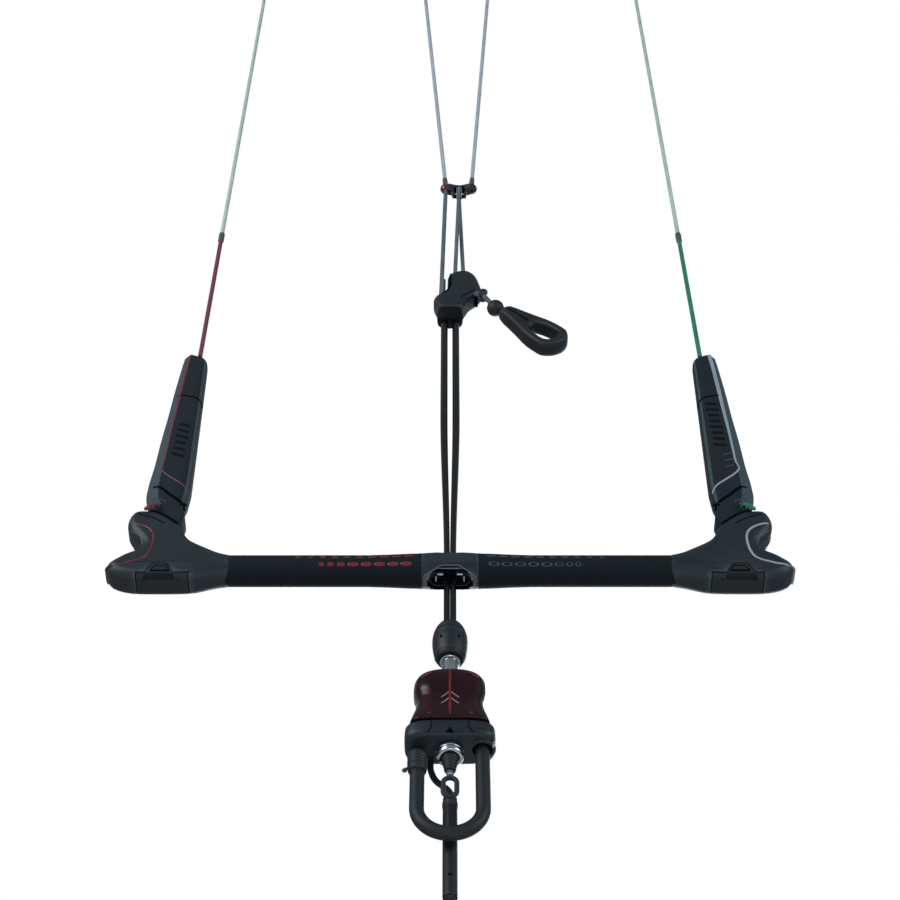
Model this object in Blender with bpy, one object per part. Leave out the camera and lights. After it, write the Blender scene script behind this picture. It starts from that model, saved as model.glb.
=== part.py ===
"""Kite control bar with its lines, hanging by its front lines.

Shapes are written in millimetres in bar coordinates: the origin is the centre of the bar, +X runs along it
to the right hand, +Y away from the rider and +Z along the lines. hang_point turns them into world metres.
"""

import math

import bpy
import bmesh
from mathutils import Matrix, Vector

MM = 0.001

# Driving dimensions, millimetres.
HANG = 1070.0  # line ends above the bar's centre
BAR_HALF = 260.2  # centre to the tip of a bar end
TUBE_R, TUBE_BORE_R, TUBE_HALF = 9.5, 8.0, 194.0
GRIP_START, GRIP_END = 22.0, 169.7
GRIP_R, GRIP_CENTRE_R = 12.0, 13.4
HUB_HALF_X, HUB_HALF = 20.5, 13.5
SLOT_X, SLOT_Y = 32.6, 14.6  # opening through the bar for the liner
END_HALF_Y = 12.0
FLOAT_X, FLOAT_Z = 220.5, 58.0  # pivot of a float on its bar end
KNUCKLE_R, CRADLE_R = 15.0, 16.0
FLOAT_TOP = 288.0
LEADER_X, LEADER_TOP = 217.3, 491.0
LINE_R, THIN_LINE_R = 2.0, 1.5
LINE_TOP = 1045.0
TUBE_PAIR_R = 2.6  # outer radius of one depower tube
PAIR_LOW, PAIR_HIGH = 2.75, 5.3  # half the spacing of the two tubes at the bar and at the cleat
STOPPER_TOP, STOPPER_BOTTOM = -62.0, -99.0
SWIVEL_BOTTOM = -122.0
HANDLE_BOTTOM = -173.0
HOUSING_TOP, HOUSING_BOTTOM = -173.5, -188.0
LOOP_X, LOOP_R = 22.0, 5.0
LOOP_PIVOT_Z, LOOP_ARC_Z = -195.5, -241.4
COLLAR_R = 7.0
RING_Y, FINGER_Y = -8.5, 13.0
RING_TOP, FINGER_TOP = -220.5, -218.5
CLEAT_BOTTOM, CLEAT_TOP, CLEAT_HALF_Y = 358.0, 418.0, 9.5
SPREADER_Z = 586.0
BEAD_LEFT_X, BEAD_RIGHT_X, BEAD_R = -4.3, 21.2, 5.3
SHEAVE_X, SHEAVE_Z, SHEAVE_R = 9.0, 576.0, 6.6
TRIM_EYE = (29.5, -13.0, 369.5)
TRIM_BEAD = (40.0, -22.0, 333.0)
GAP = 0.3  # between pieces that touch on the real bar

LOOKS = {
    "charcoal": ((0.035, 0.045, 0.055), 0.55, 0.0),
    "grip": ((0.012, 0.016, 0.024), 0.75, 0.0),
    "rubber": ((0.014, 0.017, 0.021), 0.6, 0.0),
    "gloss_black": ((0.006, 0.008, 0.010), 0.2, 0.0),
    "steel": ((0.62, 0.64, 0.66), 0.25, 1.0),
    "aluminium": ((0.45, 0.47, 0.50), 0.35, 1.0),
    "clear_red": ((0.16, 0.005, 0.012), 0.15, 0.0),
    "red": ((0.40, 0.02, 0.03), 0.5, 0.0),
    "line_red": ((0.20, 0.045, 0.06), 0.8, 0.0),
    "line_green": ((0.02, 0.19, 0.10), 0.8, 0.0),
    "line_pale": ((0.52, 0.60, 0.53), 0.8, 0.0),
    "line_grey": ((0.36, 0.37, 0.40), 0.8, 0.0),
}

PLACES = {}  # where each empty stands, in bar coordinates


def look(name):
    """The material of one finish, made on first use."""
    found = bpy.data.materials.get(name)
    if found:
        return found
    colour, roughness, metallic = LOOKS[name]
    made = bpy.data.materials.new(name)
    made.use_nodes = True
    shader = made.node_tree.nodes["Principled BSDF"]
    shader.inputs["Base Color"].default_value = (*colour, 1.0)
    shader.inputs["Roughness"].default_value = roughness
    shader.inputs["Metallic"].default_value = metallic
    return made


def axis_at(name, place=(0, 0, 0), parent=None):
    """An empty on a joint's axis; what hangs on it moves with that joint."""
    empty = bpy.data.objects.new(name, None)
    bpy.context.scene.collection.objects.link(empty)
    PLACES[name] = Vector(place)
    if parent is None:
        empty.location = (0, 0, -HANG * MM)
    else:
        empty.parent = parent
        empty.location = held(place, parent)
    return empty


def held(point, parent):
    """A point of bar coordinates in metres from its parent empty."""
    return (Vector(point) - PLACES[parent.name]) * MM


def attached(name, data, finish, parent):
    """The object of a mesh or curve, dressed and parented."""
    data.materials.append(look(finish))
    piece = bpy.data.objects.new(name, data)
    piece.parent = parent
    bpy.context.scene.collection.objects.link(piece)
    return piece


def skinned(name, rings, finish, parent, closed=False):
    """A solid whose skin runs through rings of equally many points: capped, or joined end to start."""
    bm = bmesh.new()
    rows = [[bm.verts.new(held(point, parent)) for point in ring] for ring in rings]
    pairs = list(zip(rows, rows[1:]))
    if closed:
        pairs.append((rows[-1], rows[0]))
    else:
        bm.faces.new(rows[0])
        bm.faces.new(rows[-1])
    for low, high in pairs:
        for i, corner in enumerate(low):
            j = (i + 1) % len(low)
            bm.faces.new((corner, low[j], high[j], high[i]))
    bmesh.ops.recalc_face_normals(bm, faces=bm.faces)
    mesh = bpy.data.meshes.new(name)
    bm.to_mesh(mesh)
    bm.free()
    mesh.shade_smooth()
    mesh.set_sharp_from_angle(angle=math.radians(35))
    return attached(name, mesh, finish, parent)


def circle(radius, along, centre, axis, sides):
    """A ring of points about an axis through centre, at the given distance along it."""
    ring = []
    for i in range(sides):
        turn = 2 * math.pi * i / sides
        across, up = radius * math.cos(turn), radius * math.sin(turn)
        offset = {"x": (along, across, up), "y": (across, along, up), "z": (across, up, along)}[axis]
        ring.append(Vector(centre) + Vector(offset))
    return ring


def turned(name, profile, finish, parent, centre=(0, 0, 0), axis="z", sides=20, closed=False):
    """A turned solid: profile is a list of (radius, distance along the axis)."""
    rings = [circle(radius, along, centre, axis, sides) for radius, along in profile]
    return skinned(name, rings, finish, parent, closed)


def oval(half_x, half_y, z, centre_x=0.0, power=2.0, points=24):
    """A ring of a superellipse: power 2 is an ellipse, and larger powers square it off."""
    ring = []
    for i in range(points):
        turn = 2 * math.pi * (i + 0.5) / points
        c, s = math.cos(turn), math.sin(turn)
        x = half_x * math.copysign(abs(c) ** (2 / power), c)
        y = half_y * math.copysign(abs(s) ** (2 / power), s)
        ring.append(Vector((centre_x + x, y, z)))
    return ring


def slot_ring(length, width, z, steps=6):
    """A ring with straight sides and round ends, as a slot seen from above."""
    radius, ring = width / 2, []
    for side in (1, -1):
        centre = side * (length / 2 - radius)
        for i in range(steps + 1):
            turn = math.pi * i / steps - math.pi / 2
            ring.append(Vector((centre + side * radius * math.cos(turn), side * radius * math.sin(turn), z)))
    return ring


def arc(centre, radius, start, end, steps):
    """Points in the XZ plane round a centre, from one angle to another in degrees."""
    turns = [math.radians(start + (end - start) * i / steps) for i in range(steps + 1)]
    return [(centre[0] + radius * math.cos(t), centre[1] + radius * math.sin(t)) for t in turns]


def plate(name, outline, y_low, y_high, finish, parent):
    """An outline in the XZ plane given a thickness along Y."""
    rings = [[Vector((x, y, z)) for x, z in outline] for y in (y_low, y_high)]
    return skinned(name, rings, finish, parent)


def block(name, low, high, finish, parent):
    """A box between two corners."""
    outline = [(low[0], low[2]), (high[0], low[2]), (high[0], high[2]), (low[0], high[2])]
    return plate(name, outline, low[1], high[1], finish, parent)


def cord(name, points, radius, finish, parent, closed=False):
    """A round cord or rod through points, with flat ends."""
    curve = bpy.data.curves.new(name, "CURVE")
    curve.dimensions = "3D"
    curve.bevel_depth = radius * MM
    curve.bevel_resolution = 2
    curve.use_fill_caps = not closed
    line = curve.splines.new("POLY")
    line.points.add(len(points) - 1)
    line.use_cyclic_u = closed
    for slot, point in zip(line.points, points):
        slot.co = (*held(point, parent), 1)
    return attached(name, curve, finish, parent)


def eased(points, steps):
    """A smooth curve through hand-placed points, by Catmull-Rom pieces."""
    padded = [Vector(p) for p in (points[0], *points, points[-1])]
    route = []
    for a, b, c, d in zip(padded, padded[1:], padded[2:], padded[3:]):
        for i in range(steps):
            t = i / steps
            bend = (2 * a - 5 * b + 4 * c - d) * t * t + (3 * b - a - 3 * c + d) * t**3
            route.append((2 * b + (c - a) * t + bend) / 2)
    return [*route, padded[-1]]


def soften(piece, width, segments=2):
    """A rounded edge wherever two faces meet at more than 40 degrees."""
    bevel = piece.modifiers.new("edges", "BEVEL")
    bevel.width = width * MM
    bevel.segments = segments
    bevel.limit_method = "ANGLE"
    bevel.angle_limit = math.radians(40)


def combine(piece, tool, operation):
    """A Boolean of piece with a tool object that is itself left out."""
    tool.hide_render = True
    tool.display_type = "WIRE"
    step = piece.modifiers.new(tool.name, "BOOLEAN")
    step.operation = operation
    step.solver = "EXACT"
    step.object = tool


def line_end(name, x, finish, parent):
    """A whipped sleeve with a flat sewn loop, whose top facet lies level with the hang point."""
    half_x, loop_r, start = 4.6, 4.6, LINE_TOP + GAP
    facet = math.cos(math.pi / 14)  # seven facets round the top, so that the middle one is level
    centre = HANG - loop_r * facet
    inner = loop_r - 2.0
    low = start + 12.0
    outer = [*arc((x, centre), half_x, 0, 180, 7), (x - 2.4, low), (x + 2.4, low)]
    hole = [*arc((x, centre), inner, 0, 180, 7), (x - 0.7, low + 3.5), (x + 0.7, low + 3.5)]
    rings = [[Vector((px, y, pz)) for px, pz in shape] for shape, y in
             ((outer, -1.5), (outer, 1.5), (hole, 1.5), (hole, -1.5))]
    loop = skinned(name, rings, finish, parent, closed=True)
    sleeve = turned(name + "_sleeve", [(2.8, start), (2.8, low + 1.5)], finish, parent, (x, 0, 0), sides=12)
    combine(loop, sleeve, "UNION")
    return loop


def front_lines(root):
    """The two front lines from their end loops to the spreader beads."""
    for side, bead_x, top_x in (("left", BEAD_LEFT_X, -29.0), ("right", BEAD_RIGHT_X, 44.3)):
        start = SPREADER_Z + BEAD_R + GAP
        cord("front_line_" + side, [(bead_x, 0, start), (top_x, 0, LINE_TOP)], LINE_R, "line_grey", root)
        line_end("front_line_end_" + side, top_x, "line_grey", root)


def spreader(root):
    """The spreader that keeps the front lines apart, with its beads, sheave axle and sheave."""
    for side, x, finish in (("left", BEAD_LEFT_X, "red"), ("right", BEAD_RIGHT_X, "rubber")):
        turns = [math.pi * (i + 1) / 9 for i in range(8)]
        profile = [(BEAD_R * math.sin(t), -BEAD_R * math.cos(t)) for t in turns]
        turned("spreader_bead_" + side, profile, finish, root, (x, 0, SPREADER_Z), sides=14)
    low, cheek = SHEAVE_Z - 3.0, 7.6
    outline = [(SHEAVE_X - cheek, low), (SHEAVE_X - 4, low), (SHEAVE_X - 4, 584), (SHEAVE_X + 4, 584),
               (SHEAVE_X + 4, low), (SHEAVE_X + cheek, low), (15.2, 589.5), (SHEAVE_X, 588), (1.7, 589.5)]
    body = plate("spreader", outline, -3.6, 3.6, "rubber", root)
    soften(body, 0.6)
    bore = turned("spreader_bore", [(1.6, -12), (1.6, 12)], "steel", root, (SHEAVE_X, 0, SHEAVE_Z), "x", 10)
    combine(body, bore, "DIFFERENCE")
    turned("sheave_axle", [(1.2, -7.4), (1.2, 7.4)], "steel", root, (SHEAVE_X, 0, SHEAVE_Z), "x", 10)
    spin = axis_at("sheave_spin", (SHEAVE_X, 0, SHEAVE_Z), root)
    groove = [(SHEAVE_R, -2.8), (SHEAVE_R, -2.2), (3.7, -1.0), (3.7, 1.0), (SHEAVE_R, 2.2), (SHEAVE_R, 2.8),
              (1.5, 2.8), (1.5, -2.8)]
    turned("sheave", groove, "steel", spin, (SHEAVE_X, 0, SHEAVE_Z), "x", 20, closed=True)


def trim_lines(unit):
    """The line that runs from the cleat over the sheave and back, and the safety line beside it."""
    over = [(SHEAVE_X, -5.5 * math.cos(t), SHEAVE_Z + 5.5 * math.sin(t)) for t in
            (math.pi * i / 8 for i in range(9))]
    start = CLEAT_TOP + 0.4
    cord("trim_line", [(4.5, -1, start), *over, (12.5, 1, start)], 1.4, "line_grey", unit)
    cord("safety_line", [(-8, 0, 395.5), (BEAD_LEFT_X, 0, SPREADER_Z - BEAD_R - 0.8)], THIN_LINE_R,
         "line_grey", unit)


def cleat(unit):
    """The trim cleat: two shells, and the boot that takes the depower tubes."""
    outline = [(-11, CLEAT_BOTTOM), (-14.6, 364), (-16, 375), (-13.5, 387), (-9, 393.5), (-4, 396),
               (-2.4, 404), (-1, 412), (4, 417.4), (8.5, CLEAT_TOP), (15, 417.6), (20, 413), (25, 403),
               (28, 393), (28, 384), (23, 375), (17, 367), (13, 361), (11, CLEAT_BOTTOM)]
    for side, low, high in (("front", -CLEAT_HALF_Y, -GAP / 2), ("back", GAP / 2, CLEAT_HALF_Y)):
        shell = plate("cleat_" + side, outline, low, high, "charcoal", unit)
        soften(shell, 1.6, 1)
    rings = [oval(half_x, half_y, z, power=3, points=20) for half_x, half_y, z in
             ((9.6, 6.2, 343), (11, 7.4, 345), (11.5, 8, 351), (10.6, 8, CLEAT_BOTTOM - GAP))]
    skinned("cleat_boot", rings, "rubber", unit)


def trim_tail(unit):
    """The pull end of the trim line: a swivelling eye, the cord, the stop bead and the handle."""
    x, _, z = TRIM_EYE
    swing = axis_at("trim_swing", TRIM_EYE, unit)
    turned("trim_eye", [(3.2, -17.5), (4.2, -16.5), (4.2, -8), (3.2, -7)], "rubber", swing, (x, 0, z), "y", 16)
    pull = axis_at("trim_pull", TRIM_BEAD, swing)
    eye, bead = Vector(TRIM_EYE), Vector(TRIM_BEAD)
    run = (bead - eye).normalized()
    cord("trim_tail_cord", [eye + run * 4.9, bead - run * 7.9], THIN_LINE_R, "line_grey", swing)
    rings = [[bead + run * (-7.5 * math.cos(t)) + spoke * (7.5 * math.sin(t))
              for spoke in spokes(run, 14)] for t in (math.pi * (i + 1) / 8 for i in range(7))]
    skinned("trim_bead", rings, "rubber", pull)
    trim_handle(pull)


def spokes(axis, sides):
    """Unit vectors all round an axis."""
    across = axis.cross(Vector((0, 1, 0))).normalized()
    return [Matrix.Rotation(2 * math.pi * i / sides, 3, axis) @ across for i in range(sides)]


def trim_handle(pull):
    """The flat teardrop handle with its finger hole, laid 45 degrees down to the right."""
    outer = [(0, 6.6), (10, 7.6), (28, 11.4), (45, 16.0), *arc((57, 0), 17.5, 70, -70, 10), (45, -16.0),
             (28, -11.4), (10, -7.6), (0, -6.6)]
    hole = [(38, 4.2), (46, 7.6), *arc((57, 0), 8.8, 78, -78, 8), (46, -7.6), (38, -4.2)]
    turn = Matrix.Rotation(math.radians(-45.7), 2)
    start = Vector((46.5, 326.5))
    shapes = [[turn @ Vector(point) + start for point in shape] for shape in (outer, hole)]
    handle = plate("trim_handle", shapes[0], -29.5, -14.5, "charcoal", pull)
    soften(handle, 3.0)
    window = plate("trim_handle_hole", shapes[1], -35, -9, "charcoal", pull)
    combine(handle, window, "DIFFERENCE")


def depower_tubes(unit):
    """The two glossy tubes that the bar slides on, splayed a little towards the cleat."""
    low, high, steps = STOPPER_TOP + GAP, 343 - GAP, 14
    for side, sign in (("left", -1), ("right", 1)):
        route = []
        for i in range(steps + 1):
            z = low + (high - low) * i / steps
            t = min(max((z - 30) / 305, 0), 1)
            spread = PAIR_LOW + (PAIR_HIGH - PAIR_LOW) * t * t * (3 - 2 * t)
            route.append((sign * spread, 0, z))
        cord("depower_tube_" + side, route, TUBE_PAIR_R, "gloss_black", unit)


def stopper(unit):
    """The stopper ball under the bar and the steel swivel tube below it."""
    profile = [(5.9, STOPPER_TOP), (8, -63.2), (10.6, -68), (12.3, -74), (12.85, -80.5), (12.6, -86),
               (11.9, -91.5), (10.9, -96), (9.2, STOPPER_BOTTOM)]
    turned("stopper", profile, "rubber", unit, sides=20)
    stem = [(7.4, STOPPER_BOTTOM - GAP), (7.4, -101.6), (6.05, -101.8), (6.05, SWIVEL_BOTTOM)]
    turned("swivel_tube", stem, "steel", unit, sides=20)


def bar_core(bar):
    """The aluminium tube with its centre slot, and the two grips."""
    wall = [(TUBE_R, -TUBE_HALF), (TUBE_R, TUBE_HALF), (TUBE_BORE_R, TUBE_HALF), (TUBE_BORE_R, -TUBE_HALF)]
    tube = turned("bar_tube", wall, "aluminium", bar, axis="x", sides=24, closed=True)
    slot = skinned("bar_slot", [slot_ring(SLOT_X, SLOT_Y, z) for z in (-15, 15)], "aluminium", bar)
    combine(tube, slot, "DIFFERENCE")
    bore = TUBE_R + GAP
    for side, sign in (("left", -1), ("right", 1)):
        skin = [(bore, GRIP_START), (GRIP_CENTRE_R, GRIP_START), (13.1, 32), (12.4, 46), (GRIP_R, 62),
                (GRIP_R, GRIP_END), (bore, GRIP_END)]
        profile = [(radius, sign * along) for radius, along in skin]
        turned("grip_" + side, profile, "grip", bar, axis="x", sides=24, closed=True)


def hub(bar):
    """The centre piece: two shells with a funnel mouth, the steel liner and its two guide pins."""
    outline = [(HUB_HALF_X, -8.5), (HUB_HALF_X, 8.5), (16.8, HUB_HALF), (-16.8, HUB_HALF),
               (-HUB_HALF_X, 8.5), (-HUB_HALF_X, -8.5), (-16.8, -HUB_HALF), (16.8, -HUB_HALF)]
    bore = turned("hub_bore", [(TUBE_R + GAP, -30), (TUBE_R + GAP, 30)], "steel", bar, axis="x", sides=24)
    mouth = [slot_ring(38.4, 19.4, -14), slot_ring(SLOT_X, SLOT_Y, -9.3), slot_ring(SLOT_X, SLOT_Y, 9.3),
             slot_ring(38.4, 19.4, 14)]
    funnel = skinned("hub_funnel", mouth, "steel", bar)
    for side, low, high in (("front", -HUB_HALF, -GAP / 2), ("back", GAP / 2, HUB_HALF)):
        shell = plate("hub_" + side, outline, low, high, "charcoal", bar)
        soften(shell, 1.2, 1)
        combine(shell, bore, "DIFFERENCE")
        combine(shell, funnel, "DIFFERENCE")
    sleeve = [slot_ring(32, 14, -9), slot_ring(32, 14, 9), slot_ring(30, 12, 9), slot_ring(30, 12, -9)]
    skinned("hub_liner", sleeve, "steel", bar, closed=True)
    for side, sign in (("left", -1), ("right", 1)):
        turned("guide_pin_" + side, [(1.0, -1.9), (1.0, 1.9)], "steel", bar, (sign * 13.3, 0, -6), "y", 10)


def slide_bush(parent):
    """The bush that rides on the tubes inside the hub, and on which the bar tilts."""
    rings = [slot_ring(20, 9.2, -3), slot_ring(20, 9.2, 3), slot_ring(16.4, 5.8, 3), slot_ring(16.4, 5.8, -3)]
    skinned("slide_bush", rings, "gloss_black", parent, closed=True)


def bar_end(side, sign, bar):
    """One bar end: the socket on the tube, the float cradle, the winding horn and the insert's pocket."""
    pivot = (FLOAT_X, FLOAT_Z)
    outline = [(170, -12.3), (179, -13.5), (195, -15), (216, -15.5), (240, -15.2), (252, -12.5), (257.5, -8.5),
               (BAR_HALF, -4.4), (256.5, 1.5), (251, 6.5), (246.5, 10.5), (241.5, 15), (238.3, 19.3),
               (239.4, 24), (243.6, 31), (247.4, 38), (248.2, 46), (246.6, 54), (243, 58), (239.5, 58.8),
               *arc(pivot, CRADLE_R, -5, -131, 12), (206.5, 42.5), (200, 34.6), (194, 29.2), (188, 24),
               (179, 17.7), (170, 12.3)]
    name = "bar_end_" + side
    body = plate(name, [(sign * x, z) for x, z in outline], -END_HALF_Y, END_HALF_Y, "charcoal", bar)
    soften(body, 2.6, 1)
    socket_r, socket_end = TUBE_R + GAP, TUBE_HALF + 0.5
    reach = [(socket_r, sign * 160), (socket_r, sign * socket_end)]
    combine(body, turned(name + "_socket", reach, "charcoal", bar, axis="x", sides=24), "DIFFERENCE")
    pocket = insert_blocks(name + "_pocket", sign, GAP, bar)
    combine(body, pocket, "DIFFERENCE")


def insert_blocks(name, sign, grow, parent):
    """The insert's panel and front tab as one solid, grown by a clearance for its pocket."""
    low, high = sorted((sign * (196.6 - grow), sign * (236.0 + grow)))
    past = 10 * grow  # a pocket runs on past the bar end's faces
    floor, depth = -15.2 - past, -12.2 - past
    panel = block(name, (low, -8.9 - grow, floor), (high, 8.9 + grow, -7.2 + grow), "rubber", parent)
    top, inner, outer = -4.9 + grow, 205.7 - grow - 0.52 * past, 229.2 + grow + 0.59 * past
    tab = [(inner, floor), (outer, floor), (223.1 + grow, top), (211.1 - grow, top)]
    front = plate(name + "_tab", [(sign * x, z) for x, z in tab], depth, -6.0 + grow, "rubber", parent)
    combine(panel, front, "UNION")
    return panel


def float_body(side, sign, parent):
    """The foam float: a round knuckle in the bar end's cradle, and the long tapering body."""
    knuckle = [(FLOAT_X, math.sqrt(KNUCKLE_R**2 - dz**2), 9.0, FLOAT_Z + dz) for dz in
               (-14.6, -12.5, -9, -4.5, 0, 4.5, 8)]
    widths = ((71, 25.5, 19), (80, 32.5, 23), (97, 34.9, 24), (129, 32.2, 23.5), (161, 30.3, 22.5),
              (195, 27.4, 21), (229, 25.4, 19), (266, 22.4, 17.5), (284, 20.6, 16), (FLOAT_TOP, 15, 12))
    rings = [oval(half_x, half_y, z, sign * x, 5, 16) for x, half_x, half_y, z in knuckle]
    for z, width, depth in widths:
        inner = 205 + 4 * (z - 97) / 169
        centre = FLOAT_X if z < 75 else inner + 17.45 if z < 97 else inner + width / 2
        centre = LEADER_X + 1.5 if z == FLOAT_TOP else centre
        rings.append(oval(width / 2, depth / 2, z, sign * centre, 4, 16))
    skinned("float_" + side, rings, "charcoal", parent)


def steering_side(side, sign, finish, parent):
    """What a float carries: the leader's knot below it, and the leader, line and end loop above it."""
    knot = eased([(sign * 232.5, -11.2, 52), (sign * 233.5, -11.4, 59), (sign * 231.5, -11.4, 66)], 3)
    cord("leader_knot_" + side, knot, 1.8, finish, parent)
    x = sign * LEADER_X
    cord("leader_" + side, [(x, 0, FLOAT_TOP + GAP), (x, 0, LEADER_TOP)], LINE_R, finish, parent)
    cord("steering_line_" + side, [(x, 0, LEADER_TOP + GAP), (x, 0, LINE_TOP)], LINE_R, "line_pale", parent)
    line_end("steering_line_end_" + side, x, "line_pale", parent)


def release_unit(unit):
    """The quick release's fixed half: core, spring, housing, and the safety swivel below."""
    core = [(5.4, SWIVEL_BOTTOM - GAP), (7, -124), (7, -126), (11, -126), (11, -129), (7, -129), (7, -154),
            (12, -154), (12, HANDLE_BOTTOM - 0.2)]
    turned("release_core", core, "steel", unit, sides=20)
    turns, per_turn, low, high = 4, 9, -148.9, -130.1
    coil = []
    for i in range(turns * per_turn + 1):
        t = 2 * math.pi * i / per_turn
        coil.append((9.3 * math.cos(t), 9.3 * math.sin(t), low + (high - low) * i / (turns * per_turn)))
    cord("return_spring", coil, 0.8, "steel", unit)
    shape = ((28.5, 14.5, HOUSING_TOP), (31, 16, -176), (31, 16, -184), (29.5, 14.8, -187),
             (27.5, 13.2, HOUSING_BOTTOM))
    housing = skinned("release_housing", [oval(a, b, z, power=4, points=32) for a, b, z in shape], "charcoal", unit)
    socket = turned("loop_socket", [(7, -180), (7, -195)], "charcoal", unit, (LOOP_X, 0, 0), sides=16)
    combine(housing, socket, "DIFFERENCE")
    nut = [(8.4, -188.3), (9.4, -189.2), (9.4, -195), (8.6, -196), (6.9, -196), (6.9, -188.3)]
    turned("swivel_nut", nut, "steel", unit, sides=20, closed=True)
    turned("boot_cone", [(6.4, -188.6), (6.4, -193), (5.6, -198), (3.5, -208)], "rubber", unit, sides=16)
    leash = [(0, 0, -208.7), (0, 0, -211), (0, -3.5, -214.8), (0, RING_Y, -218.4), (0, RING_Y, RING_TOP + 2 * GAP)]
    cord("leash_cord", eased(leash, 3), 2.0, "line_grey", unit)
    strap = [(-13, 9, -189.5), (-13, 10.5, -197), (-9.5, 12.2, -205), (-2.5, FINGER_Y, -211.5),
             (0, FINGER_Y, -215.5), (0, FINGER_Y, FINGER_TOP + 2 * GAP)]
    cord("finger_strap", eased(strap, 3), 1.75, "rubber", unit)


def release_handle(parent):
    """The sliding red handle, with room inside for the core's flange and the spring."""
    outside = [oval(a, b, z, power=2.6, points=20) for a, b, z in (
        (18.5, 13.5, SWIVEL_BOTTOM), (22.4, 15.4, -124.5), (24, 16.2, -130), (24.4, 16.4, -137),
        (23.5, 15.8, -144), (22.9, 15.4, -150), (23.4, 15.6, -158), (24.8, 16.4, -166), (26, 17, HANDLE_BOTTOM))]
    inside = [circle(radius, z, (0, 0, 0), "z", 20) for radius, z in (
        (12.6, HANDLE_BOTTOM), (12.6, -152), (8, -152), (8, -150), (11.6, -150), (11.6, -125), (7.8, -125),
        (7.8, SWIVEL_BOTTOM))]
    half_step = Matrix.Rotation(math.pi / 20, 3, "Z")  # circle starts on +X, oval half a step past it
    inside = [[half_step @ point for point in ring] for ring in inside]
    skinned("release_handle", outside + inside, "clear_red", parent, closed=True)


def chicken_loop(parent):
    """The harness loop: plug end on the right, ribbed collar and ball on the left."""
    arc_z, sides, steps = LOOP_ARC_Z, 10, 13
    path = [(LOOP_X, -180.6, 4.6), (LOOP_X, -189, 4.8), (LOOP_X, -190.5, LOOP_R)]
    for x, z in arc((0, arc_z), LOOP_X, 0, -180, steps):
        path.append((x, z, LOOP_R))
    path += [(-LOOP_X, -209.5, LOOP_R), (-LOOP_X, -208, COLLAR_R), (-LOOP_X, LOOP_PIVOT_Z, COLLAR_R)]
    for i in range(1, 5):
        t = math.radians(18 * i)
        path.append((-LOOP_X, LOOP_PIVOT_Z + (COLLAR_R - 0.2) * math.sin(t), COLLAR_R * math.cos(t)))
    rings = []
    for i, (x, z, radius) in enumerate(path):
        ahead, behind = path[min(i + 1, len(path) - 1)], path[max(i - 1, 0)]
        run = Vector((ahead[0] - behind[0], 0, ahead[1] - behind[1])).normalized()
        side = Vector((run.z, 0, -run.x))
        ring = []
        for k in range(sides):
            t = 2 * math.pi * (k + 0.5) / sides - math.pi / 2
            ring.append(Vector((x, 0, z)) + side * (radius * math.sin(t)) + Vector((0, radius * math.cos(t), 0)))
        rings.append(ring)
    skinned("chicken_loop", rings, "rubber", parent)


def leash_ring(parent):
    """The small oval ring that the leash clips to."""
    wire, half_x, half_z = 1.75, 4.5, 8.25
    centre = RING_TOP - wire - half_z
    side = half_z - half_x
    path = [*arc((0, centre + side), half_x, 0, 180, 8), *arc((0, centre - side), half_x, 180, 360, 8)]
    cord("leash_ring", [(x, RING_Y, z) for x, z in path], wire, "rubber", parent, closed=True)


def finger(parent):
    """The stiff finger that keeps the loop on the harness hook, hanging by its strap."""
    end = -308.0
    profile = [(2.4, FINGER_TOP), (4.2, FINGER_TOP - 1.2), (4.9, FINGER_TOP - 4), (4.9, end + 5),
               (4.5, end + 2.6), (3.3, end + 0.9), (1.6, end)]
    turned("loop_finger", profile, "rubber", parent, (0, FINGER_Y, 0), sides=16)


def build():
    """The whole control bar, body by body from the line ends down."""
    for leftover in list(bpy.data.objects):
        bpy.data.objects.remove(leftover)
    root = axis_at("hang_point")
    front_lines(root)
    spreader(root)
    unit = axis_at("trim_travel", parent=root)
    trim_lines(unit)
    cleat(unit)
    trim_tail(unit)
    depower_tubes(unit)
    stopper(unit)
    slider = axis_at("bar_slide", parent=unit)
    slide_bush(slider)
    bar = axis_at("bar_steer", parent=slider)
    bar_core(bar)
    hub(bar)
    for side, sign, finish in (("left", -1, "line_red"), ("right", 1, "line_green")):
        bar_end(side, sign, bar)
        drop = axis_at("insert_slide_" + side, parent=bar)
        insert_blocks("end_insert_" + side, sign, 0.0, drop)
        tilt = axis_at("float_tilt_" + side, (sign * FLOAT_X, 0, FLOAT_Z), bar)
        float_body(side, sign, tilt)
        steering_side(side, sign, finish, tilt)
    swivel = axis_at("release_swivel", (0, 0, SWIVEL_BOTTOM), unit)
    release_unit(swivel)
    release_handle(axis_at("release_push", (0, 0, HANDLE_BOTTOM), swivel))
    chicken_loop(axis_at("loop_open", (-LOOP_X, 0, LOOP_PIVOT_Z), swivel))
    leash_ring(axis_at("ring_swing", (0, RING_Y, RING_TOP), swivel))
    finger(axis_at("finger_swing", (0, FINGER_Y, FINGER_TOP), swivel))


build()
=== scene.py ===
"""The looks of the control bar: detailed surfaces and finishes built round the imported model."""

import logging
import math
from dataclasses import dataclass, field
from enum import Enum
from typing import Any, Sequence

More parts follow.
